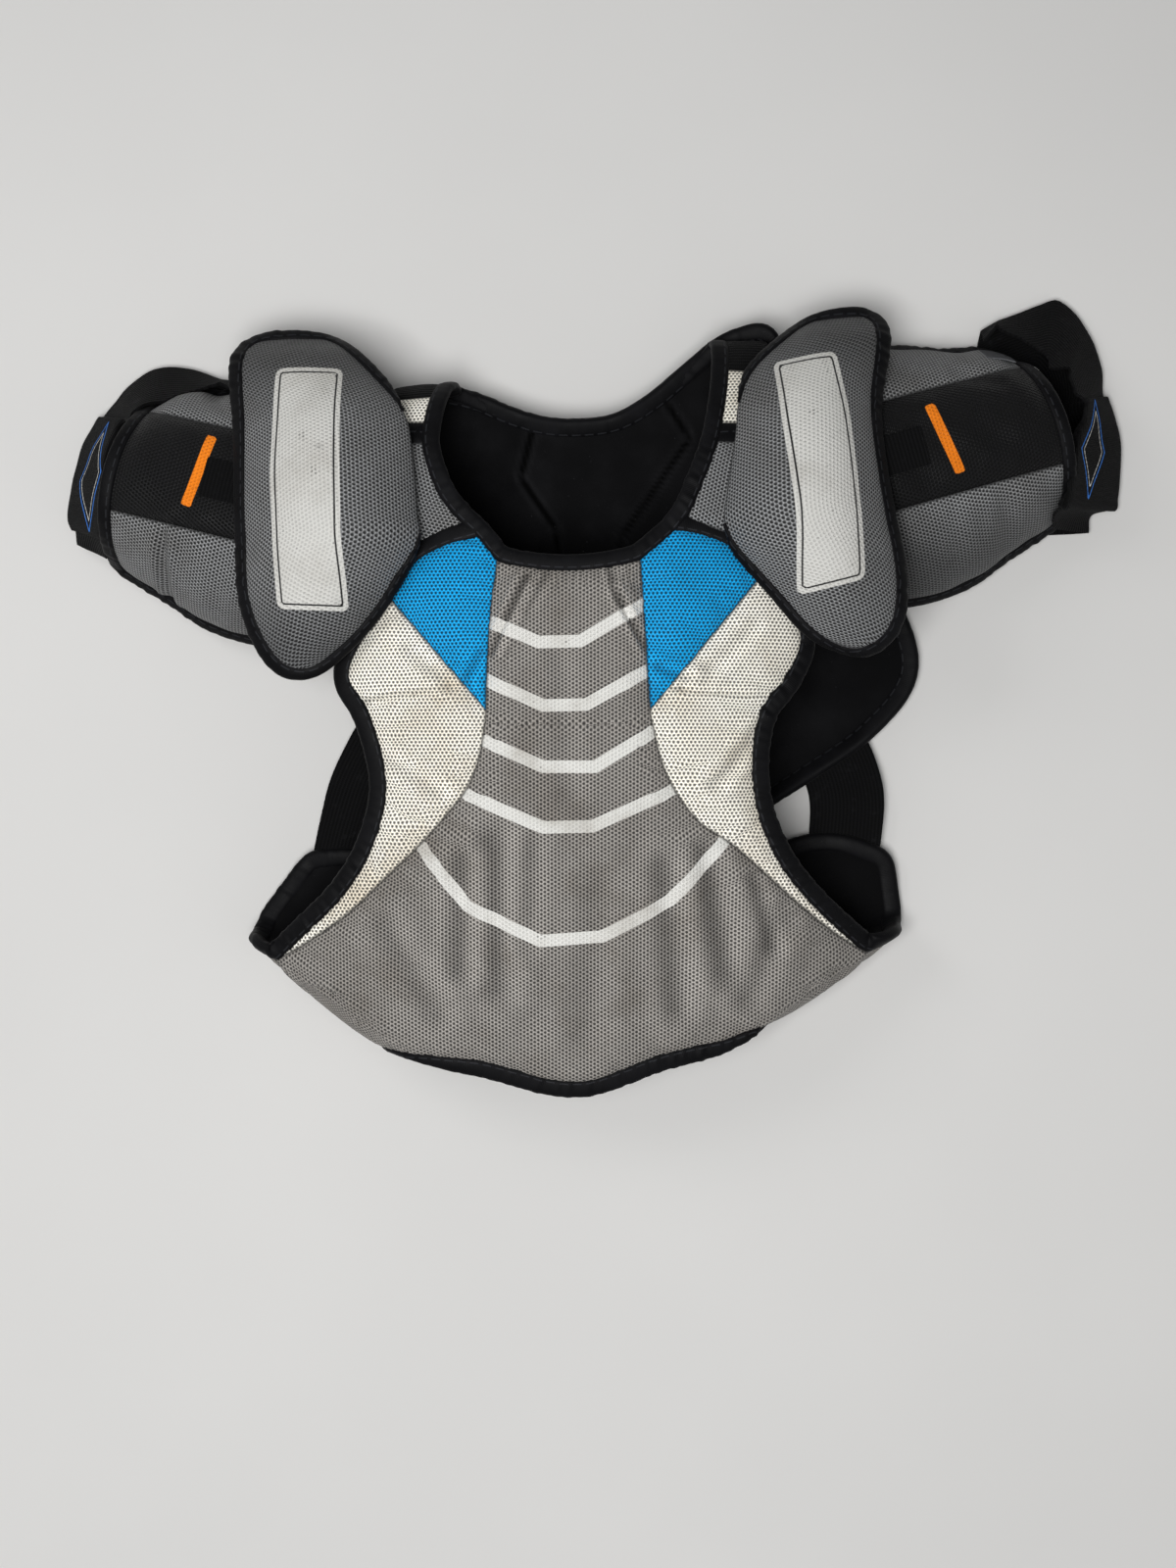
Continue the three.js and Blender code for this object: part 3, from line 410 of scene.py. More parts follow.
def grid_normals(points):
    """Unit normals of a grid: the cross product of its step down the rows and its step along the columns."""
    normal = np.cross(np.gradient(points, axis=0), np.gradient(points, axis=1))
    return normal / np.maximum(np.linalg.norm(normal, axis=-1, keepdims=True), 1e-9)


def cloth_uv(points):
    """Lengths along the rows and the columns of a grid, measured on the surface from its middle."""
    rows, columns = points.shape[:2]
    u = np.linalg.norm(np.diff(points, axis=1), axis=-1).cumsum(1)
    v = np.linalg.norm(np.diff(points, axis=0), axis=-1).cumsum(0)
    u = np.hstack([np.zeros((rows, 1)), u])
    v = np.vstack([np.zeros((1, columns)), v])
    return np.stack([u - u[:, columns // 2, None], v[None, rows // 2] - v], axis=-1)


def rim(points):
    """The edge of a grid in order, with the grid on its left, seen from where its normals point."""
    return np.concatenate([points[:, 0], points[-1, 1:], points[-2::-1, -1], points[0, -2:0:-1]])


class Sheet:
    """Grids of points welded into one surface where they meet."""

    def __init__(self, *grids):
        """Each grid is its points and its cloth coordinates or other values, from the head down, -X to +X."""
        points, uvs, faces, start = [], [], [], 0
        for grid, uv in grids:
            rows, columns = grid.shape[:2]
            index = start + np.arange(rows * columns).reshape(rows, columns)
            faces.append(np.stack([index[:-1, :-1], index[1:, :-1], index[1:, 1:], index[:-1, 1:]], -1))
            points.append(grid.reshape(-1, 3))
            uvs.append(uv.reshape(-1, uv.shape[-1]))
            start += rows * columns
        points = np.concatenate(points)
        _, first, where = np.unique(np.round(points * 200), axis=0, return_index=True, return_inverse=True)
        self.points = points[first]
        self.uv = np.concatenate(uvs)[first]
        quads = where.reshape(-1)[np.concatenate([f.reshape(-1, 4) for f in faces])]
        same = quads == np.roll(quads, -1, axis=1)
        self.quads = quads[~same.any(1)]
        once = same.sum(1) == 1
        self.corners = np.concatenate([np.delete(quads[same[:, i] & once], i, 1) for i in range(4)])

    def faces(self):
        """The quads and then the triangles, as lists of points."""
        return self.quads.tolist() + self.corners.tolist()

    def normals(self):
        """Unit normals at the points: the sum of the normals of the faces around each."""
        total = np.zeros_like(self.points)
        for faces in (self.quads, self.corners):
            p = self.points[faces]
            normal = np.cross(p[:, 2] - p[:, 0], p[:, -1] - p[:, 1])
            np.add.at(total, faces, normal[:, None, :])
        return total / np.maximum(np.linalg.norm(total, axis=1, keepdims=True), 1e-9)

    def edge(self):
        """Pairs of points along the free edge: the sides of faces that no other face runs along."""
        sides = np.concatenate([np.stack([f, np.roll(f, -1, 1)], -1).reshape(-1, 2)
                                for f in (self.quads, self.corners)])
        there = sides[:, 0] * len(self.points) + sides[:, 1]
        back = sides[:, 1] * len(self.points) + sides[:, 0]
        return sides[~np.isin(back, there)]

    def depth(self):
        """Distance of each point from the nearest point of the free edge."""
        line = self.points[np.unique(self.edge())]
        square = (self.points ** 2).sum(1)[:, None] + (line ** 2).sum(1) - 2 * self.points @ line.T
        return np.sqrt(np.maximum(square.min(1), 0))


def unevenness(points, size, depth, seed):
    """Soft dents all over: the mean of six sine waves in seeded directions, each about size long."""
    wild = np.random.default_rng(seed)
    turn = wild.uniform(0, math.tau, 6)
    waves = np.stack([np.cos(turn), np.sin(turn), wild.uniform(-0.3, 0.3, 6)])
    waves *= math.tau / (size * wild.uniform(0.6, 1.6, 6))
    return depth * np.sin(points @ waves + wild.uniform(0, math.tau, 6)).mean(1) * 1.7


def segment_distance(flat, start, end):
    """Distance of flat points from a straight line between two points."""
    start, end = np.asarray(start, float), np.asarray(end, float)
    run = end - start
    share = np.clip(((flat - start) @ run) / (run @ run), 0, 1)
    return np.linalg.norm(flat - start - share[:, None] * run, axis=1)


def creases(points, table):
    """Depth of creases: each is a bell round its line, less a low bell that makes a ridge round that."""
    total = np.zeros(len(points))
    for x0, y0, x1, y1, width, depth in table:
        away = segment_distance(points[:, :2], (x0, y0), (x1, y1)) / width
        total += depth * (np.exp(-away ** 2) - CREASE_RIDGE * np.exp(-(away - CREASE_RIDGE_AT) ** 2))
    return total


def eased(depth, reach):
    """A rise from nothing at a seam, quick at first, up to one: one less a falling exponential."""
    return 1 - np.exp(-depth / reach)


def ramp(value, start, run, most=1.0, least=0.0):
    """A straight rise of a value past its start, kept between two limits."""
    return np.clip((value - start) / run, least, most)


def foam(depth, thickness, reach):
    """Thickness of a padded sheet: pinched at its edge, then eased to the whole of its foam."""
    return PINCHED + (thickness - PINCHED) * eased(depth, reach)


def settled(sheet):
    """The sheet blown up a little by Blender's cloth, held at its free edge, with no point moved too far.

    The cloth is longer than its place, so it buckles into small folds beside its seams. It stays off the
    floor.
    """
    scene = bpy.context.scene
    mesh = bpy.data.meshes.new("cloth_before")
    mesh.from_pydata((sheet.points * MM * CLOTH_SCALE).tolist(), [], sheet.faces())
    cloth_piece = bpy.data.objects.new("cloth_before", mesh)
    scene.collection.objects.link(cloth_piece)
    seams = cloth_piece.vertex_groups.new(name="seams")
    seams.add(np.unique(sheet.edge()).tolist(), 1.0, "REPLACE")
    cloth = cloth_piece.modifiers.new("cloth", "CLOTH").settings
    for key, value in CLOTH.items():
        setattr(cloth, key, value)
    cloth.effector_weights.gravity = 0
    for step in range(1, CLOTH_STEPS + 1):
        scene.frame_set(step)
    shaped = cloth_piece.evaluated_get(bpy.context.evaluated_depsgraph_get()).to_mesh()
    found = np.empty(len(sheet.points) * 3)
    shaped.vertices.foreach_get("co", found)
    bpy.data.objects.remove(cloth_piece)
    bpy.data.meshes.remove(mesh)
    scene.frame_set(1)
    moved = found.reshape(-1, 3) / (MM * CLOTH_SCALE) - sheet.points
    far = np.linalg.norm(moved, axis=1, keepdims=True)
    sheet.points = sheet.points + moved * np.minimum(1, CLOTH_MOST / np.maximum(far, 1e-9))
    sheet.points[:, 2] = np.maximum(sheet.points[:, 2], WING_FLOOR_Z)


def finished(name, points, faces, uv, finishes, kinds=None, marks=None):
    """A mesh piece at the origin from points in millimetres, with cloth coordinates, finishes and marks."""
    mesh = bpy.data.meshes.new(name)
    mesh.from_pydata(((points + MOVED) * MM).tolist(), [], faces)
    corner = np.empty(len(mesh.loops), int)
    mesh.loops.foreach_get("vertex_index", corner)
    layer = mesh.uv_layers.new(name="cloth")
    layer.uv.foreach_set("vector", (uv[corner] / UV_MM).astype(np.float32).ravel())
    for key, values in (marks or {}).items():
        made = mesh.attributes.new(key, "FLOAT", "POINT")
        made.data.foreach_set("value", np.asarray(values, np.float32))
    for key in finishes:
        mesh.materials.append(finish(key))
    if kinds is not None:
        mesh.polygons.foreach_set("material_index", np.asarray(kinds, np.int32))
    mesh.polygons.foreach_set("use_smooth", np.ones(len(mesh.polygons), bool))
    mesh.set_sharp_from_angle(angle=math.radians(SHARP_EDGE))
    mesh.validate()
    mesh.update()
    piece = bpy.data.objects.new(name, mesh)
    bpy.context.scene.collection.objects.link(piece)
    return piece


def solid(name, sheet, top, under, finishes, marks=None):
    """A closed piece between two offsets from a sheet along its normals, with a wall round its free edge.

    The second finish, where there is one, is on the under side and the wall. Prints are on the upper side
    alone.
    """
    normals = sheet.normals()
    count = len(sheet.points)
    points = np.vstack([sheet.points + normals * np.reshape(offset, (-1, 1)) for offset in (top, under)])
    over = sheet.faces()
    below = (sheet.quads[:, ::-1] + count).tolist() + (sheet.corners[:, ::-1] + count).tolist()
    a, b = sheet.edge().T
    wall = np.stack([a, a + count, b + count, b], 1).tolist()
    kinds = np.repeat([0, len(finishes) - 1], [len(over), len(below) + len(wall)])
    both = {}
    for key, values in (marks or {}).items():
        beneath = NO_PRINT if key == "print" else values
        both[key] = np.concatenate([np.broadcast_to(half, count) for half in (values, beneath)])
    return finished(name, points, over + below + wall, np.vstack([sheet.uv] * 2), finishes, kinds, both)


def evenly(path, step, closed, soft):
    """A path of points and values read at even steps of its length, then rounded at its corners."""
    if closed:
        path = np.vstack([path, path[:1]])
    run = np.concatenate([[0], np.linalg.norm(np.diff(path[:, :3], axis=0), axis=1).cumsum()])
    keep = np.concatenate([[True], np.diff(run) > 1e-6])
    run, path = run[keep], path[keep]
    count = max(8, int(run[-1] / step))
    at = np.linspace(0, run[-1], count, endpoint=not closed)
    even = np.stack([np.interp(at, run, column) for column in path.T], axis=1)
    reach = int(3 * soft / step)
    bell = np.exp(-0.5 * (np.arange(-reach, reach + 1) * step / soft) ** 2)
    how = {"mode": "wrap"} if closed else {"mode": "reflect", "reflect_type": "odd"}
    padded = np.pad(even, ((reach, reach), (0, 0)), **how)
    return np.stack([np.convolve(column, bell / bell.sum(), mode="valid") for column in padded.T], 1), run[-1]


def bound(name, places, width, closed, seed, soft=4.0):
    """Binding tape wrapped over an edge: a rounded box section carried along it, gathered into puckers.

    Places are rows of point, normal, low, high and share of the width. The section reaches from just inside
    the edge to its width, its size swings with three sine waves of the length along the tape, and the waves
    lean.
    """
    pucker = bpy.context.scene.protector_sizes.tape_pucker / MM
    path, run = evenly(places, TAPE_STEP, closed, soft)
    points, normals, low, high = path[:, :3], path[:, 3:6], path[:, 6:7], path[:, 7:8]
    normals = normals / np.linalg.norm(normals, axis=1, keepdims=True)
    ahead = np.roll(points, -1, 0) - np.roll(points, 1, 0) if closed else np.gradient(points, axis=0)
    out = np.cross(ahead, normals)
    out /= np.maximum(np.linalg.norm(out, axis=1, keepdims=True), 1e-9)
    turn = np.linspace(0, math.tau, TAPE_SIDES, endpoint=False)[None]
    side = np.sign(np.cos(turn)) * np.abs(np.cos(turn)) ** (2 / TAPE_POWER)
    rise = np.sign(np.sin(turn)) * np.abs(np.sin(turn)) ** (2 / TAPE_POWER)
    along = np.linspace(0, run, len(points), endpoint=not closed)[:, None]
    wild = np.random.default_rng(seed)
    lean = along + 2.5 * rise + 1.2 * side
    gathers = 0
    for period in TAPE_GATHERS:
        whole = max(1, round(run / period)) if closed else run / period
        gathers = gathers + np.sin(math.tau * whole * lean / run + wild.uniform(0, 6.28))
    swing = pucker * gathers * (0.45 + 0.35 * np.sin(math.tau * 3 * along / run + wild.uniform(0, 6.28)))
    reach = (width * path[:, 8:9] + TAPE_INSIDE) / 2
    across = reach - TAPE_INSIDE + side * (reach + 0.5 * swing)
    up = (low + high) / 2 + rise * ((high - low) / 2 + 0.8 * swing)
    rings = points[:, None] + out[:, None] * across[..., None] + normals[:, None] * up[..., None]
    count = rings.shape[1]
    index = np.arange(len(points) * count).reshape(len(points), count)
    ahead_index = np.roll(index, -1, 0) if closed else index[1:]
    here = index if closed else index[:-1]
    faces = np.stack([here, np.roll(here, -1, 1), np.roll(ahead_index, -1, 1), ahead_index], -1)
    faces = faces.reshape(-1, 4).tolist()
    if not closed:
        faces += [index[0][::-1].tolist(), index[-1].tolist()]
    uv = np.stack([np.broadcast_to(along, across.shape), across + np.where(rise < 0, TAPE_UNDER, 0.0)], -1)
    marks = {"fold": np.broadcast_to(rise, across.shape).ravel()}
    piece = finished(name, rings.reshape(-1, 3), faces, uv.reshape(-1, 2), ["black_tape"], marks=marks)
    placed(piece, "black_tape", name)


def with_reach(points, normals, low, high, share=1.0):
    """Rows of point, normal, low and high for a tape, and the share of its width that it shows there."""
    ends = np.broadcast_to([low, high], points.shape[:-1] + (2,))
    share = np.broadcast_to(share, points.shape[:-1])[..., None]
    return np.concatenate([points, normals, ends, share], axis=-1)


# Shapes of the parts

def on_chest(x, y):
    """A point of the chest sheet: a crest less a parabola to each end and a power to the sides."""
    crest_x, crest_y, crest_z = CHEST_CREST
    away = y - crest_y
    hemward, headward = (fall * (away / run) ** 2 for fall, run in (HEM_FALL, NECK_FALL))
    fall, run = SIDE_FALL
    sideways = fall * (np.abs(x - crest_x) / run) ** SIDE_POWER
    return np.stack([x, y, crest_z - np.where(away < 0, hemward, headward) - sideways], axis=-1)


def straight(ends, t):
    """Points at shares t of the straight line between two ends, one to a row."""
    return mix(*np.array(ends, float), t)[:, None]


def chest_side(side, start, end, rows, columns):
    """Part of a side of the chest: straight lines between two edge curves, laid on the chest sheet."""
    first, second = CHEST_COLUMNS[side]
    table = curve(CHEST_ROWS, np.linspace(start, end, rows))
    s = np.linspace(0, 1, columns)[None, :, None]
    flat = mix(table[:, None, first:first + 2], table[:, None, second:second + 2], s)
    return on_chest(flat[..., 0], flat[..., 1])


def chest_upper(rows, columns):
    """The centre of the chest above the ribs: lines between the two seams, dipped at the neck."""
    q = np.linspace(0, 1, rows)
    table = curve(CHEST_ROWS, q)
    s = np.linspace(0, 1, columns)[None, :, None]
    flat = mix(table[:, None, 2:4], table[:, None, 4:6], s)
    dip = NECK_DIP * ((1 - q) ** 4)[:, None] * (1 - (2 * s[..., 0] - 1) ** 2)
    return on_chest(flat[..., 0], flat[..., 1] - dip)


def chest_lower(rows, columns):
    """The lower front: lines between the two folds, bowed more and more to the hem's own curve."""
    t = np.linspace(0, 1, rows)[:, None]
    s = np.linspace(0, 1, columns)[None, :]
    flat = mix(straight(FOLD["right"], t), straight(FOLD["left"], t), s[..., None])
    hem = curve(HEM[:, None], s[0])[:, 0] - flat[-1, :, 1]
    return on_chest(flat[..., 0], flat[..., 1] + t * hem)


def wing(side, rows):
    """A wing from its fold: a roll under to the floor, then a straight run to its free end.

    The roll's height is an arc's. Its way out from the fold to its side, and back in to the floor, is a sine.
    """
    t = np.linspace(0, 1, rows)[:, None]
    fold, beside, below = (straight(table[side], t) for table in (FOLD, ROLL_SIDE, ROLL_FLOOR))
    start = on_chest(fold[..., 0], fold[..., 1])[..., 2]
    radius = (start - WING_FLOOR_Z) / (1 + math.cos(ROLL_START))
    angle = np.linspace(ROLL_START, math.pi, WING_ROLL_STEPS + 1)[None]
    first = math.sin(ROLL_START)
    outward = mix(fold, beside, ((np.sin(angle) - first) / (1 - first))[..., None])
    inward = mix(below, beside, np.sin(angle)[..., None])
    flat = np.where(angle[..., None] < math.pi / 2, outward, inward)
    height = start - radius * (math.cos(ROLL_START) - np.cos(angle))
    roll = np.concatenate([flat, height[..., None]], axis=-1)
    share = np.linspace(0, 1, WING_RUN_STEPS + 1)[1:][None]
    end = curve(WING_ENDS[side], t[:, 0])
    flat = mix(roll[:, -1:, :2], end[:, None], share[..., None])
    height = np.broadcast_to(WING_FLOOR_Z + WING_END_LIFT * share ** 2, flat.shape[:2])
    return np.concatenate([roll, np.concatenate([flat, height[..., None]], -1)], axis=1)


def wing_uv(points):
    """Cloth coordinates of a wing unrolled: each step's part along the fold and its length square to it."""
    fold = points[-1, 0, :2] - points[0, 0, :2]
    fold /= np.linalg.norm(fold)
    out = np.array([fold[1], -fold[0]]) * np.sign(fold[0])
    step = np.diff(points, axis=1, prepend=points[:, :1])
    along = step[..., :2] @ fold
    square = np.sqrt(np.maximum((step ** 2).sum(-1) - along ** 2, 0))
    run = (along[..., None] * fold + square[..., None] * out).cumsum(1)
    return points[:, :1, :2] + run


def chest_centre_grids(columns=96, upper_rows=140, lower_rows=32):
    """The grids of the centre: above the ribs, below them, and the two wings."""
    upper = chest_upper(upper_rows, columns)
    lower = chest_lower(lower_rows, columns)
    right, left = (wing(side, lower_rows) for side in ("right", "left"))
    return [(upper, upper[..., :2]), (lower, lower[..., :2]),
            (right[:, ::-1], wing_uv(right)[:, ::-1]), (left, wing_uv(left))]


def chest_edges():
    """The tape's way round the chest, from one side of the neck to the other, and then across the neck."""
    right, left = (wing(side, 33) for side in ("right", "left"))
    grids = {
        "right": chest_side("right", 0, 1, 130, 5), "left": chest_side("left", 0, 1, 130, 5),
        "right_wing": right[:, ::-1], "left_wing": left,
        "lower": chest_lower(33, 90), "upper": chest_upper(40, 40),
    }
    ways = {key: with_reach(grid, grid_normals(grid), -PINCHED - TAPE_COVER, COVER + TAPE_COVER)
            for key, grid in grids.items()}
    turned = np.interp(np.arange(left.shape[1]), *WING_TAPE)
    ways["right_wing"][-1, :, -1] = turned[::-1]
    ways["left_wing"][-1, :, -1] = turned
    ways["lower"][-1, :, -1] = np.interp(np.minimum(np.arange(90), np.arange(90)[::-1]), *HEM_TAPE)
    body = np.concatenate([
        ways["right"][:-3, 0], ways["right_wing"][0, ::-1], ways["right_wing"][:, 0], ways["right_wing"][-1],
        ways["lower"][-1], ways["left_wing"][-1], ways["left_wing"][::-1, -1], ways["left_wing"][0, ::-1],
        ways["left"][-4::-1, -1],
    ])
    neck = np.concatenate([ways[key][0, ::-1] for key in ("left", "upper", "right")])
    return body, neck


def back_grid(rows, columns):
    """The back panel: lines between its two side edges, bowed at the neck, turned up a little at its rim."""
    t = np.linspace(0, 1, rows)
    table = curve(BACK_ROWS, t)
    across = np.linspace(-1, 1, columns)[None, :]
    flat = mix(table[:, None, 0:2], table[:, None, 2:4], (across[..., None] + 1) / 2)
    y = flat[..., 1] - table[:, 4:5] * (1 - np.abs(across) ** BACK_NECK_POWER)
    neck = curve(BACK_NECK[:, None], (across[0] + 1) / 2)[:, 0]
    y = y + np.maximum(0, 1 - 5 * t[:, None]) ** 1.5 * (neck - y[0])
    ends = np.maximum(np.abs(across), np.maximum(0, 2 * t[:, None] - 1)) ** BACK_RIM_POWER
    z = np.maximum(0, table[:, 5:6]) + BACK_RIM_RISE * ends
    return np.stack([flat[..., 0], y, z], axis=-1)


def yoke_grid(side, start, end, rows, columns):
    """Part of a yoke from the back to the chest: lines between its neck side and outer side curves."""
    table = curve(YOKE_ROWS[side], np.linspace(end, start, rows))
    s = np.linspace(0, 1, columns)[None, :, None]
    neck = np.concatenate([table[:, 0:2], table[:, 4:5]], 1)[:, None]
    outer = np.concatenate([table[:, 2:4], table[:, 4:5] - YOKE_OUTER_FALL], 1)[:, None]
    return mix(outer, neck, s) if side == "right" else mix(neck, outer, s)


def laid(at, turn, hand, out, head):
    """x and y of a place given outwards and headwards in a side's own frame."""
    angle = math.radians(turn)
    x = out * math.cos(angle) - head * math.sin(angle)
    y = out * math.sin(angle) + head * math.cos(angle)
    return at[0] + hand * x, at[1] + y


def cap_grid(side, rows, columns):
    """A cap's under side: lines from inner to outer edge, raised by a dome that is nothing at its rim.

    Gives the points, the dome from 0 to 1, and each place's outward and headward distance.
    """
    facts = SIDES[side]
    table = curve(CAP_ROWS[side], np.linspace(0, 1, rows))
    along = table[:, :1]
    h = along / CAP_HALF
    s = np.linspace(0, 1, columns)[None]
    out = mix(table[:, 2:3], table[:, 1:2], s)
    dome = np.maximum(0, (1 - (2 * s - 1) ** 2) * (1 - h ** 2))
    z = CAP_Z - CAP_BOW * h ** 2 + CAP_TIP * h - CAP_LEAN * out + CAP_DOME * dome
    rounding = CAP_TOP_ARCH * ramp(along, 60, 44) ** 2 - CAP_TOE_ARCH * ramp(-along, 80, 24) ** 2
    head = along + rounding * (1 - (2 * s - 1) ** 2)
    z = z - CAP_TOP_DROP * ramp(head, 82, 22) ** 2
    x, y = laid(facts["cap_at"], facts["cap_turn"], facts["hand"], out, head)
    points = np.stack([x, y, z], -1)
    found = [points, dome, out, head]
    return found if facts["hand"] > 0 else [array[:, ::-1] for array in found]


def arm_place(side, t, b):
    """A place on a guard at share t of its length and distance b across: an arch of a power on a power."""
    facts = SIDES[side]
    table = curve(ARM_ROWS, t)
    low, high = table[..., 1], table[..., 2]
    place = np.clip((b - low) / (high - low) * 2 - 1, -1, 1)
    arch = np.maximum(0, 1 - np.abs(place) ** ARM_POWER) ** ARM_FULLNESS
    along = table[..., 0] + ARM_END_BOW * t ** 4 * (1 - place ** 2)
    x, y = laid(facts["arm_at"], facts["arm_turn"], facts["hand"], along, b)
    return np.stack([x, y, mix(table[..., 4], table[..., 3], arch)], -1), along


def arm_grid(side, upper, lower, rows, columns):
    """Part of a guard between two lines across it. A line of None is the guard's own edge on that side."""
    t = np.linspace(0, 1, columns)[None]
    table = curve(ARM_ROWS, t)
    top = table[..., 2] if upper is None else upper
    bottom = table[..., 1] if lower is None else lower
    s = np.linspace(0, 1, rows)[:, None]
    s = np.sin(s * math.pi / 2) if lower is None else s
    s = 1 - np.cos(s * math.pi / 2) if upper is None else s
    b = np.broadcast_to(mix(top, bottom, s), (rows, columns))
    points, along = arm_place(side, np.broadcast_to(t, b.shape), b)
    found = [points, along, b]
    return found if SIDES[side]["hand"] > 0 else [array[:, ::-1] for array in found]


def strap_grid(side, start, end, margins, rows, columns, wave=0.0):
    """Part of an arm strap: lines from its arm edge to its floor edge, the arm edge rippled by two sines."""
    t = np.linspace(start, end, columns)
    table = curve(STRAP_ROWS[side], t)
    outer = np.concatenate([table[:, 0:2], np.full((columns, 1), STRAP_OUTER_Z)], 1)
    inner = np.concatenate([table[:, 2:4], table[:, 4:5]], 1)
    ripple = wave * (np.sin(t * 31) + 0.6 * np.sin(t * 53 + 1))[:, None]
    s = np.linspace(1 + margins[0], -margins[1], rows)[:, None, None]
    grid = mix(outer[None], inner[None], s)
    return grid + np.maximum(s, 0) ** 3 * ripple[None] * np.array([-SIDES[side]["hand"], -0.4, 0.4])


def strap_loop(side, wave):
    """A whole strap: from its root under the guard's tape round the arm, its floor half turned in under it.

    The turned half goes on from the floor edge along the level way back to the arm, a mean over a bell of
    columns, and sinks to the floor.
    """
    grid = strap_grid(side, 0, 1, (0, 0), 16, 150, wave)
    root = np.array(STRAP_ROOTS[side], float) + np.linspace([0, -4, 3], [0, 5, -8], 16)
    share = np.linspace(0, 1, 14)[None, :-1, None]
    grid = np.concatenate([mix(root[:, None], grid[:, :1], share), grid], axis=1)
    level = (grid[0] - grid[-1]) * [1, 1, 0]
    bell = np.hanning(63)[1:-1]
    level = np.stack([np.convolve(np.pad(part, 30, "edge"), bell, "valid") for part in level.T], 1)
    level /= np.maximum(np.linalg.norm(level, axis=-1, keepdims=True), 1e-9)
    share = np.linspace(0, 1, 16)[1:, None, None]
    low = grid[-1:] * [1, 1, 0] + level * STRAP_RETURN * share + [0, 0, STRAP_FLOOR_Z]
    low[..., 2] += (grid[-1:, :, 2] - STRAP_FLOOR_Z) * (1 - share[..., 0]) ** 6
    return np.concatenate([grid, low])


# Materials

STEP = {"interpolation_type": "SMOOTHSTEP"}
LAID = {"data_type": "RGBA", "out": 2}
GRIME = "#8d7f6b"
WHITE_GRIME = "#a98f5c"
# Painted light on the guards' mesh: brightness between its holes, painted highlight on its knots,
# and how far the painted light and dark sides of its twist show
GUARD_PAINTED_LIGHT = (0.57, 2.02, 0.46)
HEXAGON = 1.732


def node(tree, kind, inputs=(), out=0, **settings):
    """Adds a node with its settings, and inputs as values or sockets to link. Gives one of its outputs."""
    made = tree.nodes.new("ShaderNode" + kind)
    for key, value in settings.items():
        setattr(made, key, value)
    for key, value in inputs.items() if isinstance(inputs, dict) else enumerate(inputs):
        socket = made.inputs[key]
        if isinstance(value, bpy.types.NodeSocket):
            tree.links.new(value, socket)
        else:
            socket.default_value = (*value, 1) if socket.type == "RGBA" else value
    return made.outputs[out] if out is not None else made


def tint(paint, factor):
    """A colour made darker or lighter by a factor."""
    return tuple(min(1.0, part * factor) for part in paint)


def inked(tree, distance, low, high, blur):
    """Share of ink in a printed band: one between two distances from an outline, with a soft step at each."""
    rise = node(tree, "MapRange", (distance, low - blur, low + blur, 0.0, 1.0), **STEP)
    fall = node(tree, "MapRange", (distance, high - blur, high + blur, 1.0, 0.0), **STEP)
    return node(tree, "Math", (rise, fall), operation="MULTIPLY")


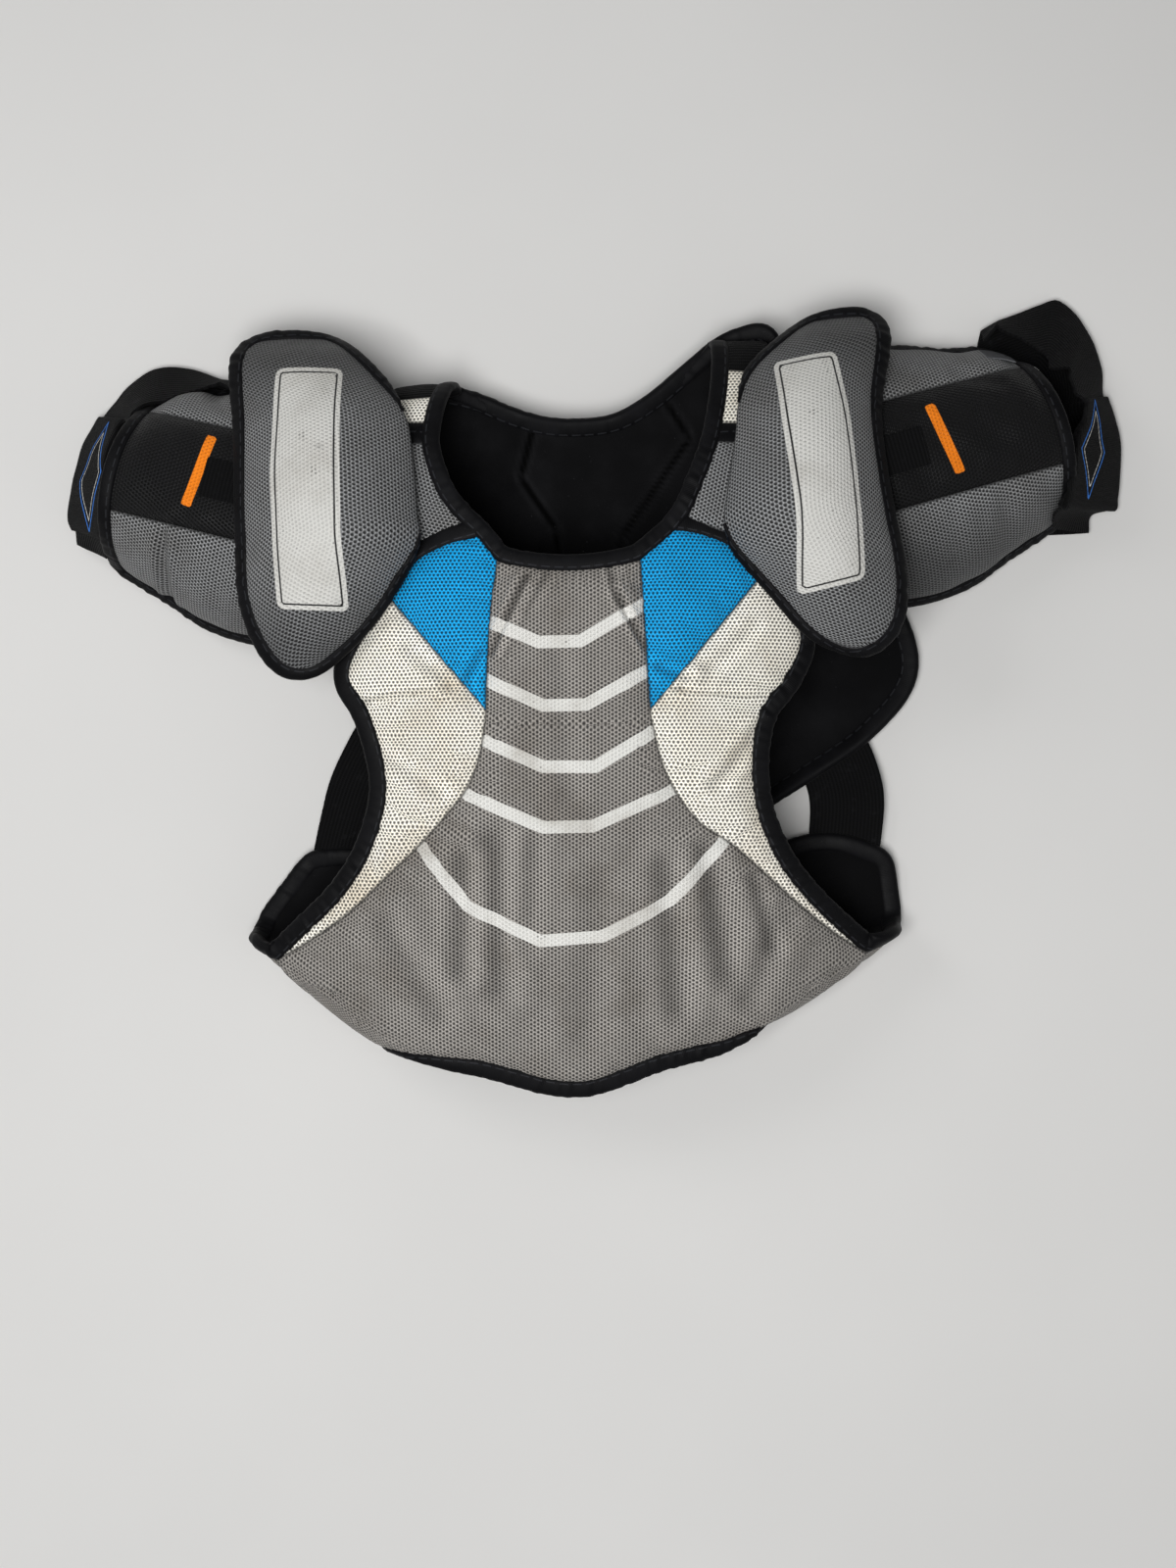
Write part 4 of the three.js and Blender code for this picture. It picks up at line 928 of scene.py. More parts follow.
def spacer_mesh(tree, thread, bands=(), dirt=GRIME, soil=0.22, gloss=0.62, shine=0.3, upright=True,
                painted_thread_light=(0.8, 1.6, 0.2)):
    """Warp knitted polyester spacer mesh: a close lattice of small round holes in a soft, shiny face.

    The holes are painted dark: partly the dark foam below, partly painted shade in them. The twisted
    threads between them get painted highlights as tiny bright knots, with a painted light and dark side.
    Skin and floor dirt lie in broad faint patches. Dirt and painted shade darken the cloth by a seam, and the
    fold mark paints shade in creases, seams and at the ends of caps and guards, with painted light beside
    creases. Bands are printed, each between two distances in millimetres from the print's outline, with its
    colour.
    """
    pitch = bpy.context.scene.protector_sizes.weave_pitch / MM
    cell = (HEXAGON, 1.0, 0.0) if upright else (1.0, HEXAGON, 0.0)
    often = (UV_MM / pitch / cell[0], UV_MM / pitch / cell[1], 0.0)
    uv = node(tree, "UVMap", uv_map="cloth")
    centres = []
    for shift in (0.0, 0.5):
        inside = node(tree, "VectorMath", (uv, often, (shift, shift, 0)), operation="MULTIPLY_ADD")
        inside = node(tree, "VectorMath", (inside,), operation="FRACTION")
        inside = node(tree, "VectorMath", (inside, cell, (-cell[0] / 2, -cell[1] / 2, 0)),
                      operation="MULTIPLY_ADD")
        centres.append(node(tree, "VectorMath", (inside,), out="Value", operation="LENGTH"))
    away = node(tree, "Math", centres, operation="MINIMUM")
    knit = node(tree, "MapRange", (away, 0.14, 0.36, 0.0, 1.0), **STEP)
    knot = node(tree, "MapRange", (away, 0.32, 0.57, 0.0, 1.0), **STEP)
    slant = node(tree, "VectorMath", (uv, tuple(math.tau * count for count in often)),
                 out="Value", operation="DOT_PRODUCT")
    twist = node(tree, "Math", (slant,), operation="SINE")
    place = node(tree, "TexCoord", out="Object")
    yarn = node(tree, "TexNoise", {"Vector": place, "Scale": 900.0, "Detail": 2.0})
    patches = node(tree, "TexNoise", {"Vector": place, "Scale": 17.0, "Detail": 7.0, "Roughness": 0.62})
    scuffs = node(tree, "TexNoise", {"Vector": place, "Scale": 70.0, "Detail": 5.0, "Roughness": 0.7})
    fuzzy = node(tree, "MapRange", (yarn, 0.3, 0.7, 0.0, 1.0), **STEP)
    face = node(tree, "Mix", {0: fuzzy, 6: tint(thread, 0.84), 7: tint(thread, 1.1)}, **LAID)
    rubbed = node(tree, "MapRange", (scuffs, 0.35, 0.8, 0.0, 0.3), **STEP)
    face = node(tree, "Mix", {0: rubbed, 6: face, 7: tint(thread, 1.4)}, **LAID)
    # Painted highlight on the knots, and a painted light side and dark side by each hole from the twist
    lit = node(tree, "MapRange", (knot, 0.0, 1.0, *painted_thread_light[:2]))
    lit = node(tree, "Math", (twist, painted_thread_light[2], lit), operation="MULTIPLY_ADD")
    # The fold mark is painted shade in creases, seams and at the ends of caps and guards, and painted light
    # beside creases where it is below nothing
    fold = node(tree, "Attribute", out="Fac", attribute_name="fold")
    shadow = node(tree, "MapRange", (fold, -1.0, 2.0, 1.28, 0.35))
    lit = node(tree, "Math", (lit, shadow), operation="MULTIPLY")
    face = node(tree, "HueSaturation", {"Value": lit, "Color": face})
    # Holes painted dark: partly the dark foam below, partly painted shade in them
    hole = node(tree, "HueSaturation", {"Value": 0.16, "Color": face})
    worn = node(tree, "MapRange", (scuffs, 0.22, 0.4, 0.72, 1.0), **STEP)
    filled = node(tree, "MapRange", (scuffs, 0.6, 0.68, 1.0, 0.35), **STEP)
    for low, high, ink in bands:
        distance = node(tree, "Attribute", out="Fac", attribute_name="print")
        share = node(tree, "Math", (inked(tree, distance, low, high, 0.25), worn), operation="MULTIPLY")
        face = node(tree, "Mix", {0: share, 6: face, 7: ink}, **LAID)
        share = node(tree, "Math", (share, filled), operation="MULTIPLY")
        hole = node(tree, "Mix", {0: share, 6: hole, 7: tint(ink, 0.86)}, **LAID)
    skin = node(tree, "Mix", {0: knit, 6: hole, 7: face}, **LAID)
    stain = node(tree, "Attribute", out="Fac", attribute_name="stain")
    soaked = node(tree, "MapRange", (patches, 0.3, 0.62, 0.0, 1.0), **STEP)
    grimy = node(tree, "MapRange", (patches, 0.46, 0.72, 0.0, soil), **STEP)
    soiled = node(tree, "Math", (stain, soaked, grimy), operation="MULTIPLY_ADD")
    skin = node(tree, "Mix", {0: soiled, 6: skin, 7: linear(dirt)}, blend_type="MULTIPLY", **LAID)
    # Darker towards a seam: partly dirt, partly painted shade in the seam's valley
    seam = node(tree, "Attribute", out="Fac", attribute_name="seam")
    seam_dirt_and_shade = node(tree, "MapRange", (seam, 0.2, 2.2, 0.85, 0.0), **STEP)
    skin = node(tree, "Mix", {0: seam_dirt_and_shade, 6: skin, 7: tint(thread, 0.1)}, **LAID)
    height = node(tree, "Math", (yarn, 0.35, knit), operation="MULTIPLY_ADD")
    height = node(tree, "Math", (twist, 0.2, height), operation="MULTIPLY_ADD")
    return {
        "Base Color": skin, "Specular IOR Level": shine, "Sheen Weight": 0.05,
        "Roughness": node(tree, "MapRange", (scuffs, 0.3, 0.7, gloss - 0.07, gloss + 0.12), **STEP),
        "Normal": node(tree, "Bump", {"Height": height, "Strength": 0.8, "Distance": 0.0006}),
    }


def satin_tape(tree, thread):
    """Woven polyester binding: close ribs across it, a soft sheen on the roll, and a stitched inner edge."""
    uv = node(tree, "UVMap", uv_map="cloth")
    along = node(tree, "SeparateXYZ", (uv,), out=0)
    across = node(tree, "SeparateXYZ", (uv,), out=1)
    # Ribs are really 0.5 mm apart, drawn at 1.1 mm so that they show
    rib = node(tree, "Math", (along, math.tau * UV_MM / 1.1), operation="MULTIPLY")
    rib = node(tree, "Math", (rib,), operation="SINE")
    dash = node(tree, "Math", (along, UV_MM / 4.2), operation="MULTIPLY")
    dash = node(tree, "Math", (dash, 1.0), operation="PINGPONG")
    dash = node(tree, "MapRange", (dash, 0.28, 0.36, 0.0, 1.0), **STEP)
    stitch = inked(tree, across, 0.8 / UV_MM, 1.7 / UV_MM, 0.1 / UV_MM)
    stitch = node(tree, "Math", (stitch, dash), operation="MULTIPLY")
    place = node(tree, "TexCoord", out="Object")
    lint = node(tree, "TexNoise", {"Vector": place, "Scale": 420.0, "Detail": 3.0})
    wear = node(tree, "TexNoise", {"Vector": place, "Scale": 45.0, "Detail": 6.0})
    faded = node(tree, "MapRange", (wear, 0.45, 0.75, 0.0, 1.0), **STEP)
    face = node(tree, "Mix", {0: faded, 6: thread, 7: tint(thread, 1.9)}, **LAID)
    specks = node(tree, "MapRange", (lint, 0.7, 0.76, 0.0, 0.2), **STEP)
    face = node(tree, "Mix", {0: specks, 6: face, 7: linear("#4a4a4c")}, **LAID)
    face = node(tree, "Mix", {0: stitch, 6: face, 7: linear("#242528")}, **LAID)
    height = node(tree, "Math", (rib, 0.12, stitch), operation="MULTIPLY_ADD")
    return {
        "Base Color": face, "Specular IOR Level": 0.1, "Sheen Weight": 0.02,
        "Roughness": node(tree, "MapRange", (wear, 0.3, 0.7, 0.5, 0.68), **STEP),
        "Normal": node(tree, "Bump", {"Height": height, "Strength": 0.5, "Distance": 0.0004}),
    }


def brushed_lining(tree, thread):
    """Brushed tricot: a matt, slightly hairy black with caught lint, darker along its seams with painted
    shade.
    """
    place = node(tree, "TexCoord", out="Object")
    nap = node(tree, "TexNoise", {"Vector": place, "Scale": 650.0, "Detail": 4.0})
    wear = node(tree, "TexNoise", {"Vector": place, "Scale": 22.0, "Detail": 6.0})
    faded = node(tree, "MapRange", (wear, 0.4, 0.75, 0.0, 1.0), **STEP)
    face = node(tree, "Mix", {0: faded, 6: thread, 7: tint(thread, 2.0)}, **LAID)
    specks = node(tree, "MapRange", (nap, 0.72, 0.8, 0.0, 0.4), **STEP)
    face = node(tree, "Mix", {0: specks, 6: face, 7: linear("#5b5b5e")}, **LAID)
    # The sewn mark is painted shade: darker along seams, lighter where it is below nothing
    sewn = node(tree, "Attribute", out="Fac", attribute_name="sewn")
    lit = node(tree, "MapRange", (sewn, -1.0, 1.0, 1.85, 0.15))
    return {
        "Base Color": node(tree, "HueSaturation", {"Value": lit, "Color": face}),
        "Roughness": 0.92, "Specular IOR Level": 0.06, "Sheen Weight": 0.02,
        "Normal": node(tree, "Bump", {"Height": nap, "Strength": 0.5, "Distance": 0.0005}),
    }


def ribbed_elastic(tree, thread, pitch, bands=()):
    """Woven elastic: ribs along its length with a shadow between them, dull and a little dusty."""
    uv = node(tree, "UVMap", uv_map="cloth")
    rib = node(tree, "SeparateXYZ", (uv,), out=1)
    rib = node(tree, "Math", (rib, math.tau * UV_MM / pitch), operation="MULTIPLY")
    rib = node(tree, "Math", (rib,), operation="SINE")
    # Weft threads are really 0.6 mm apart, drawn at 1.2 mm so that they show
    weft = node(tree, "SeparateXYZ", (uv,), out=0)
    weft = node(tree, "Math", (weft, math.tau * UV_MM / 1.2), operation="MULTIPLY")
    weft = node(tree, "Math", (weft,), operation="SINE")
    place = node(tree, "TexCoord", out="Object")
    dust = node(tree, "TexNoise", {"Vector": place, "Scale": 120.0, "Detail": 6.0, "Roughness": 0.7})
    raised = node(tree, "MapRange", (rib, -0.9, 0.3, 0.0, 1.0), **STEP)
    face = node(tree, "Mix", {0: raised, 6: tint(thread, 0.45), 7: thread}, **LAID)
    dusty = node(tree, "MapRange", (dust, 0.55, 0.85, 0.0, 0.3), **STEP)
    face = node(tree, "Mix", {0: dusty, 6: face, 7: linear("#38383b")}, **LAID)
    for low, high, ink in bands:
        distance = node(tree, "Attribute", out="Fac", attribute_name="print")
        face = node(tree, "Mix", {0: inked(tree, distance, low, high, 0.15), 6: face, 7: ink}, **LAID)
    height = node(tree, "Math", (weft, 0.35, rib), operation="MULTIPLY_ADD")
    return {
        "Base Color": face, "Roughness": 0.8, "Specular IOR Level": 0.1, "Sheen Weight": 0.02,
        "Normal": node(tree, "Bump", {"Height": height, "Strength": 0.55, "Distance": 0.0005}),
    }


def studio_floor(tree, paint):
    """Matt studio paper: even and pale, with the faintest mottling."""
    place = node(tree, "TexCoord", out="Object")
    mottle = node(tree, "TexNoise", {"Vector": place, "Scale": 3.0, "Detail": 4.0})
    mottle = node(tree, "MapRange", (mottle, 0.3, 0.7, 0.0, 1.0), **STEP)
    paper = node(tree, "Mix", {0: mottle, 6: tint(paint, 0.97), 7: paint}, **LAID)
    return {"Base Color": paper, "Roughness": 0.9}


# Printed bands: distances from an outline, less than nothing inside it, the ink and its tone
PRINTS = {
    "grey_mesh_chest": [(-NO_PRINT, 0.0, "stripe", 1.0)],
    "grey_mesh_cap": [(-NO_PRINT, 0.0, "stripe", 0.86), (-3.6, -2.6, "tape", 1.6)],
    "black_mesh": [(-NO_PRINT, 0.0, "accent", 1.0)],
    "flap_webbing": [(-0.5, 0.5, "line", 1.0), (-3.4, -2.8, "stripe", 1.0)],
}
# Real name, maker, colour and its tone, and settings
FINISHES = {
    "grey_mesh": ("grey polyester mesh", spacer_mesh, "guard", 1.0, {"soil": 0.3, "painted_thread_light": GUARD_PAINTED_LIGHT}),
    "grey_mesh_chest": ("grey polyester mesh, lined", spacer_mesh, "grey", 1.0, {"soil": 0.4}),
    "grey_mesh_cap": ("grey polyester mesh, panelled", spacer_mesh, "guard", 0.95,
                      {"soil": 0.25, "gloss": 0.55, "painted_thread_light": GUARD_PAINTED_LIGHT}),
    "white_mesh": ("white polyester mesh", spacer_mesh, "white", 1.0,
                   {"dirt": WHITE_GRIME, "upright": False}),
    "blue_mesh": ("blue polyester mesh", spacer_mesh, "blue", 1.0, {"shine": 0.16, "upright": False}),
    "black_mesh": ("black polyester mesh", spacer_mesh, "black_mesh", 1.0,
                   {"soil": 0.2, "gloss": 0.5, "shine": 0.12}),
    "black_tape": ("black woven binding", satin_tape, "tape", 1.0, {}),
    "black_lining": ("black brushed tricot", brushed_lining, "lining", 1.0, {}),
    "black_elastic": ("black woven elastic", ribbed_elastic, "elastic", 1.0, {"pitch": 2.4}),
    "flap_webbing": ("black hook tape", ribbed_elastic, "elastic", 1.0, {"pitch": 1.5}),
    "label": ("grey woven tag", ribbed_elastic, "tag", 1.0, {"pitch": 1.0}),
    "studio_paper": ("pale studio paper", studio_floor, "floor", 1.0, {}),
}
MADE = {}


def finish(key):
    """The material of a finish, made when it is first asked for."""
    if key not in MADE:
        name, maker, paint, tone, settings = FINISHES[key]
        paints = bpy.context.scene.protector_colours
        if key in PRINTS:
            bands = [(low, high, tint(getattr(paints, ink), share)) for low, high, ink, share in PRINTS[key]]
            settings = {**settings, "bands": bands}
        made = bpy.data.materials.new(name)
        made.use_nodes = True
        tree = made.node_tree
        tree.nodes.clear()
        shader = node(tree, "BsdfPrincipled", maker(tree, tint(getattr(paints, paint), tone), **settings))
        node(tree, "OutputMaterial", (shader,), out=None)
        MADE[key] = made
    return MADE[key]


# Pieces

def placed(piece, slot, *nodes):
    """Rides the piece on the part's one body, in the place of its solids, which it hides. Its slot is not
    used.
    """
    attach(piece, "root")
    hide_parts(*nodes)
    return piece


def pad(name, slot, sheet, top, under, finishes, marks=None, also=()):
    """A padded piece in the place of the solid of its name, and of others that it covers."""
    placed(solid(name, sheet, top, under, finishes, marks), slot, name, *also)


def strip(name, slot, sheet, top, under, finishes, marks=None):
    """A strip of webbing in the place of the solid of its name."""
    piece = placed(solid(name, sheet, top, under, finishes, marks), slot, name)


def build_stage():
    """Floor, soft lights and the camera straight above."""
    scene = bpy.context.scene
    x, y = np.meshgrid(*[np.linspace(-FLOOR_HALF, FLOOR_HALF, 13)] * 2)
    points = np.stack([x, y, np.full(x.shape, FLOOR_Z)], -1).reshape(-1, 3)
    index = np.arange(x.size).reshape(x.shape)
    faces = np.stack([index[:-1, :-1], index[:-1, 1:], index[1:, 1:], index[1:, :-1]], -1).reshape(-1, 4)
    mesh = bpy.data.meshes.new("studio_floor")
    mesh.from_pydata(points.tolist(), [], faces.tolist())
    mesh.materials.append(finish("studio_paper"))
    floor = bpy.data.objects.new("studio_floor", mesh)
    scene.collection.objects.link(floor)
    for name, (place, size, power) in LIGHTS.items():
        lamp = bpy.data.lights.new(name, "AREA")
        lamp.size = size
        lamp.energy = power
        light = bpy.data.objects.new(name, lamp)
        light.location = place
        light.rotation_euler = (-Vector(place)).to_track_quat("-Z", "Y").to_euler()
        scene.collection.objects.link(light)
    world = bpy.data.worlds.new("studio")
    world.use_nodes = True
    sky = world.node_tree.nodes["Background"].inputs
    sky["Color"].default_value = (*linear(SKY_COLOUR), 1)
    sky["Strength"].default_value = SKY_STRENGTH
    scene.world = world
    scene.view_settings.view_transform = "Standard"
    lens = bpy.data.cameras.new("camera")
    lens.sensor_fit = "VERTICAL"
    lens.sensor_height = 36
    lens.lens = CAMERA_LENS
    lens.clip_end = 20
    camera = bpy.data.objects.new("camera", lens)
    camera.location = CAMERA_PLACE
    scene.collection.objects.link(camera)
    scene.camera = camera


def cover(name, slot, key, grids, folds, seed, stripes=False, stains=()):
    """One mesh cover of the chest, stuffed between its seams, with creases and prints.

    A crease's painted shade is its depth less that of its copy a little to the side, so it has a painted
    dark side and a painted light side.
    """
    sizes = bpy.context.scene.protector_sizes
    sheet = Sheet(*grids)
    before = sheet.points.copy()
    settled(sheet)
    depth = sheet.depth()
    marks = {"seam": depth, "stain": np.zeros(len(depth))}
    for x, y, reach, strength in stains:
        marks["stain"] += strength * np.exp(-((before[:, :2] - [x, y]) ** 2).sum(1) / reach ** 2)
    if stripes:
        lines = [segment_distance(before[:, :2], a, b) for line in STRIPES for a, b in zip(line, line[1:])]
        near = np.min(lines, axis=0) - STRIPE_HALF
        marks["print"] = np.where(before[:, 2] < STRIPE_LOWEST_Z, NO_PRINT, near)
    pressed = creases(before, folds)
    # Painted shade in each crease and painted light beside it, kept as the fold mark
    marks["fold"] = np.clip((pressed - 0.8 * creases(before - CREASE_SHADE, folds)) / 2, -1, 1.6)
    top = COVER - SEAM_SINK + sizes.chest_puff / MM * eased(depth, sizes.seam_reach / MM)
    top += eased(depth, 4) * (unevenness(before, 48, 0.55, seed) - pressed)
    pad(name, slot, sheet, top, 0.0, [key], marks)


def build_chest():
    """The foam of the chest and the five mesh covers on it."""
    centre = chest_centre_grids()
    cover("chest_centre_cover", "grey_mesh", "grey_mesh_chest", centre, CENTRE_CREASES, 3, stripes=True)
    sides = []
    for side, seed in (("right", 11), ("left", 17)):
        grids = (
            chest_side(side, 0, BLUE_SHARE, rows=34, columns=32),
            chest_side(side, BLUE_SHARE, WHITE_END, rows=150, columns=40),
            chest_side(side, 0, 1, rows=88, columns=14),
        )
        blue, white, whole = ([(grid, grid[..., :2])] for grid in grids)
        cover(f"chest_{side}_blue_cover", "blue_mesh", "blue_mesh", blue, SIDE_CREASES, seed)
        cover(f"chest_{side}_white_cover", "white_mesh", "white_mesh", white, SIDE_CREASES, seed + 1,
              stains=WHITE_STAINS)
        sides += whole
    sheet = Sheet(*centre, *sides)
    depth = sheet.depth()
    under = eased(depth, 9) * unevenness(sheet.points, 60, 0.8, 29) - foam(depth, FOAM, 7)
    pad("chest_pad", "black_lining", sheet, -GAP, under, ["black_lining"],
        also=("chest_right_wing_pad", "chest_left_wing_pad"))


def build_back():
    """The back panel, its lining and its tape."""
    grid = back_grid(rows=96, columns=110)
    sheet = Sheet((grid, cloth_uv(grid)))
    depth = sheet.depth()
    inside = foam(depth, FOAM, 7)
    sewn = creases(sheet.points, BACK_SEAMS)
    # The fold mark here is painted shade in the back's seams
    marks = {"seam": depth + 9, "stain": 0.0, "fold": np.clip(sewn, -0.5, 1.6)}
    pad("back_pad", "grey_mesh", sheet, inside, np.maximum(sewn, 0), ["grey_mesh"], marks)
    face = inside + LINING + eased(depth, 6) * (
        unevenness(sheet.points, 55, 0.9, 41) - sewn - creases(sheet.points, LINING_FOLDS))
    middle, half = BACK_PANEL
    # Painted shade in the lining's seams, and lighter over the spine panel
    shade = sewn - 0.25 * np.exp(-((sheet.points[:, 0] - middle) / half) ** 4)
    pad("back_lining", "black_lining", sheet, face, inside + 0.1, ["black_lining"],
        {"sewn": shade})
    places = rim(with_reach(grid, grid_normals(grid), -TAPE_COVER, PINCHED + LINING + TAPE_COVER))
    bound("back_binding", places, TAPE_WIDTH, True, 51)


def build_yokes():
    """The strips over the shoulders in their four cloths, the first carried on under the chest's tape."""
    for side, seed in (("right", 61), ("left", 71)):
        for (name, slot), start, end in zip(YOKE_PIECES, YOKE_JOINS[side], YOKE_JOINS[side][1:]):
            grid = yoke_grid(side, start, end, rows=int(14 + 130 * (end - start)), columns=22)
            if start == 0:
                ahead = grid[-1:] - grid[-2:-1]
                ahead = ahead / np.linalg.norm(ahead, axis=-1, keepdims=True) + np.array([0, 0, -0.25])
                grid = np.concatenate([grid] + [grid[-1:] + ahead * reach for reach in YOKE_TUCK])
            sheet = Sheet((grid, cloth_uv(grid)))
            depth = sheet.depth()
            top = eased(depth, 4) * (YOKE_PUFF + unevenness(sheet.points, 30, 0.4, seed)) - SEAM_SINK
            pad(f"yoke_{side}_{name}", slot, sheet, top, -foam(depth, FOAM, 5),
                [slot, "black_lining"], {"seam": depth, "stain": 0.15})


def build_chest_tapes():
    """The tape round the chest, and the tape round the neck that runs on over both yokes."""
    body, neck = chest_edges()
    bound("chest_binding", body, TAPE_WIDTH, False, 81)
    low = -PINCHED - TAPE_COVER
    ways = {}
    for side, column in (("right", -1), ("left", 0)):
        grid = yoke_grid(side, 0, 1, rows=90, columns=12)
        way = with_reach(grid, grid_normals(grid), low, TAPE_COVER)[:, column]
        points = np.array(NECK_TAPE_ENDS[side], float)
        onward = with_reach(points, np.broadcast_to([0.0, 0.25, -1.0], points.shape), low, TAPE_COVER,
                            np.linspace(1, 0.5, len(points)))
        ways[side] = np.concatenate([onward[::-1], way])
    path = np.concatenate([ways["left"], neck, ways["right"][::-1]])
    bound("neck_binding", path, NECK_TAPE_WIDTH, False, 83)


def rounded_bar(out, head, ends, half, corner, skew=0.0):
    """Distance from a rounded rectangle, less than nothing inside it, along the line between its two ends."""
    start, end = (np.array(point, float) for point in ends)
    run = np.linalg.norm(end - start)
    way = (end - start) / run
    flat = np.stack([out, head], -1) - (start + end) / 2
    aside = flat @ np.array([-way[1], way[0]])
    past = np.abs(np.stack([flat @ way + skew * aside, aside], -1)) - [run / 2 - corner, half - corner]
    beyond = np.linalg.norm(np.maximum(past, 0), axis=-1)
    return beyond + np.minimum(past.max(-1), 0) - corner


def diamond(uv, u, v, half_length, half_width):
    """Distance from a diamond's sides, less than nothing inside: shares of its half sizes, added, less 1."""
    share = np.abs(uv[:, 0] - u) / half_length + np.abs(uv[:, 1] - v) / half_width - 1
    return share * half_length * half_width / math.hypot(half_length, half_width)


def build_caps():
    """The domed shoulder caps and their tapes, which leave a gap on the inner edge and taper at its ends."""
    puff = bpy.context.scene.protector_sizes.cap_puff / MM
    for side, seed in (("right", 91), ("left", 97)):
        points, dome, out, head = cap_grid(side, rows=96, columns=62)
        sheet = Sheet((points, cloth_uv(points)))
        fields = Sheet((points, np.stack([out, head, dome], -1))).uv
        depth = sheet.depth()
        # Painted shade: the cloth darker towards the cap's head end and towards its toe
        painted_shade = ramp(fields[:, 1], 44, 25, 1.8) + ramp(-fields[:, 1], 48, 32, SIDES[side]["toe_painted_shade"])
        marks = {"seam": depth, "stain": 0.05, "fold": painted_shade,
                 "print": rounded_bar(fields[:, 0], fields[:, 1], **CAP_PANEL[side])}
        top = mix(PINCHED + COVER, CAP_FOAM, fields[:, 2]) - 1.0 + puff * eased(depth, 5)
        top += eased(depth, 5) * unevenness(sheet.points, 46, 0.5, seed)
        pad(f"cap_{side}_pad", "grey_mesh", sheet, top, 0.0,
            ["grey_mesh_cap", "black_lining"], marks)
        outer = (out - out.min(1, keepdims=True)) / np.ptp(out, axis=1, keepdims=True)
        places = with_reach(points, grid_normals(points), -TAPE_COVER, PINCHED + COVER + TAPE_COVER,
                            0.7 + 0.3 * outer ** 3)
        first, last = (int(share * len(points)) for share in CAP_SEAM)
        if SIDES[side]["hand"] > 0:
            way = [places[last:, 0], places[-1, 1:], places[-2::-1, -1], places[0, -2::-1],
                   places[1:first, 0]]
        else:
            way = [places[first::-1, -1], places[0, -2::-1], places[1:, 0], places[-1, 1:],
                   places[-2:last:-1, -1]]
        way = np.concatenate(way)
        to_end = np.minimum(np.arange(len(way)), np.arange(len(way))[::-1])
        way[:, -1] *= np.clip(to_end / CAP_TAPE_TAPER, 0.05, 1)
        bound(f"cap_{side}_binding", way, CAP_TAPE_WIDTH, False, seed + 1, 7.0)


def build_arms():
    """The upper arm guards: three pads each, their tapes and the webbing tabs under the caps."""
    sizes = bpy.context.scene.protector_sizes
    limits = [None, ARM_BAND[1], ARM_BAND[0], None]
    for side, seed in (("right", 101), ("left", 113)):
        whole = []
        for i, (name, slot) in enumerate(ARM_PIECES):
            points, along, b = arm_grid(side, limits[i], limits[i + 1], rows=44, columns=78)
            whole.append(points)
            sheet = Sheet((points, cloth_uv(points)))
            fields = Sheet((points, np.stack([along, b], -1))).uv
            depth = sheet.depth()
            # Painted shade: darker towards the guard's chest side edge, by each side's amount, and towards
            # its end by the cap
            painted_shade = ramp(-fields[:, 1], 34, 40, 1, 0.15) * SIDES[side]["arm_grime"]
            painted_shade += 0.9 * ramp(-fields[:, 0], -28, 34)
            marks = {"seam": depth, "stain": 0.1, "print": NO_PRINT, "fold": painted_shade}
            if slot == "black_mesh":
                marks["print"] = rounded_bar(fields[:, 0], fields[:, 1], ARM_BARS[side], BAR_HALF, 1.2)
            top = sizes.arm_puff / MM * eased(depth, sizes.seam_reach / MM) - 1.6
            dents = unevenness(sheet.points, 34, 0.9, seed + i)
            top += eased(depth, 5) * (dents - creases(sheet.points, ARM_CREASES))
            pad(f"arm_{side}_{name}", slot, sheet, top, -foam(depth, ARM_FOAM, 6),
                [slot, "black_lining"], marks)
        grid = np.concatenate([whole[0], whole[1][1:], whole[2][1:]])
        flared = grid_normals(grid) + [0, 0, ARM_TAPE_FLARE]
        flared /= np.linalg.norm(flared, axis=-1, keepdims=True)
        places = rim(with_reach(grid, flared, -PINCHED - TAPE_COVER, TAPE_COVER, ARM_TAPE_SHARE))
        bound(f"arm_{side}_binding", places, TAPE_WIDTH, True, seed + 7)
        start = SIDES[side]["tab_from"] - ARM_ROWS[0, 0]
        run = ARM_ROWS[-1, 0] - ARM_ROWS[0, 0]
        t, b = np.meshgrid(np.linspace(start / run, (start + TAB["length"]) / run, 26),
                           np.linspace(TAB["high"], TAB["low"], 22))
        points = arm_place(side, t, b)[0] + [0, 0, TAB["lift"]]
        points = points if SIDES[side]["hand"] > 0 else points[:, ::-1]
        sheet = Sheet((points, cloth_uv(points)[..., ::-1]))
        strip(f"arm_{side}_tab", "black_elastic", sheet, WEBBING, 0.0,
              ["black_elastic"])


def build_straps():
    """The elastic straps round the arms and the flaps that close them."""
    for side, wave, seed in (("right", 0.6, 131), ("left", 2.2, 137)):
        order = 1 if side == "right" else -1
        grid = strap_loop(side, wave)[::order]
        sheet = Sheet((grid, cloth_uv(grid)))
        top = unevenness(sheet.points, 30, 0.5, seed)
        strip(f"arm_{side}_strap", "black_elastic", sheet, top,
              top - WEBBING, ["black_elastic"])
        grid = strap_grid(side, *FLAP_SPAN[side], FLAP_MARGINS, rows=44, columns=120)[::order]
        sheet = Sheet((grid, cloth_uv(grid)))
        top = GAP + FLAP - 1.2 * np.exp(-sheet.depth() / 1.2) + unevenness(sheet.points, 26, 0.4, seed + 1)
        strip(f"arm_{side}_flap", "black_tape", sheet, top, GAP,
              ["flap_webbing"], {"print": diamond(sheet.uv, *FLAP_MARKS[side])})


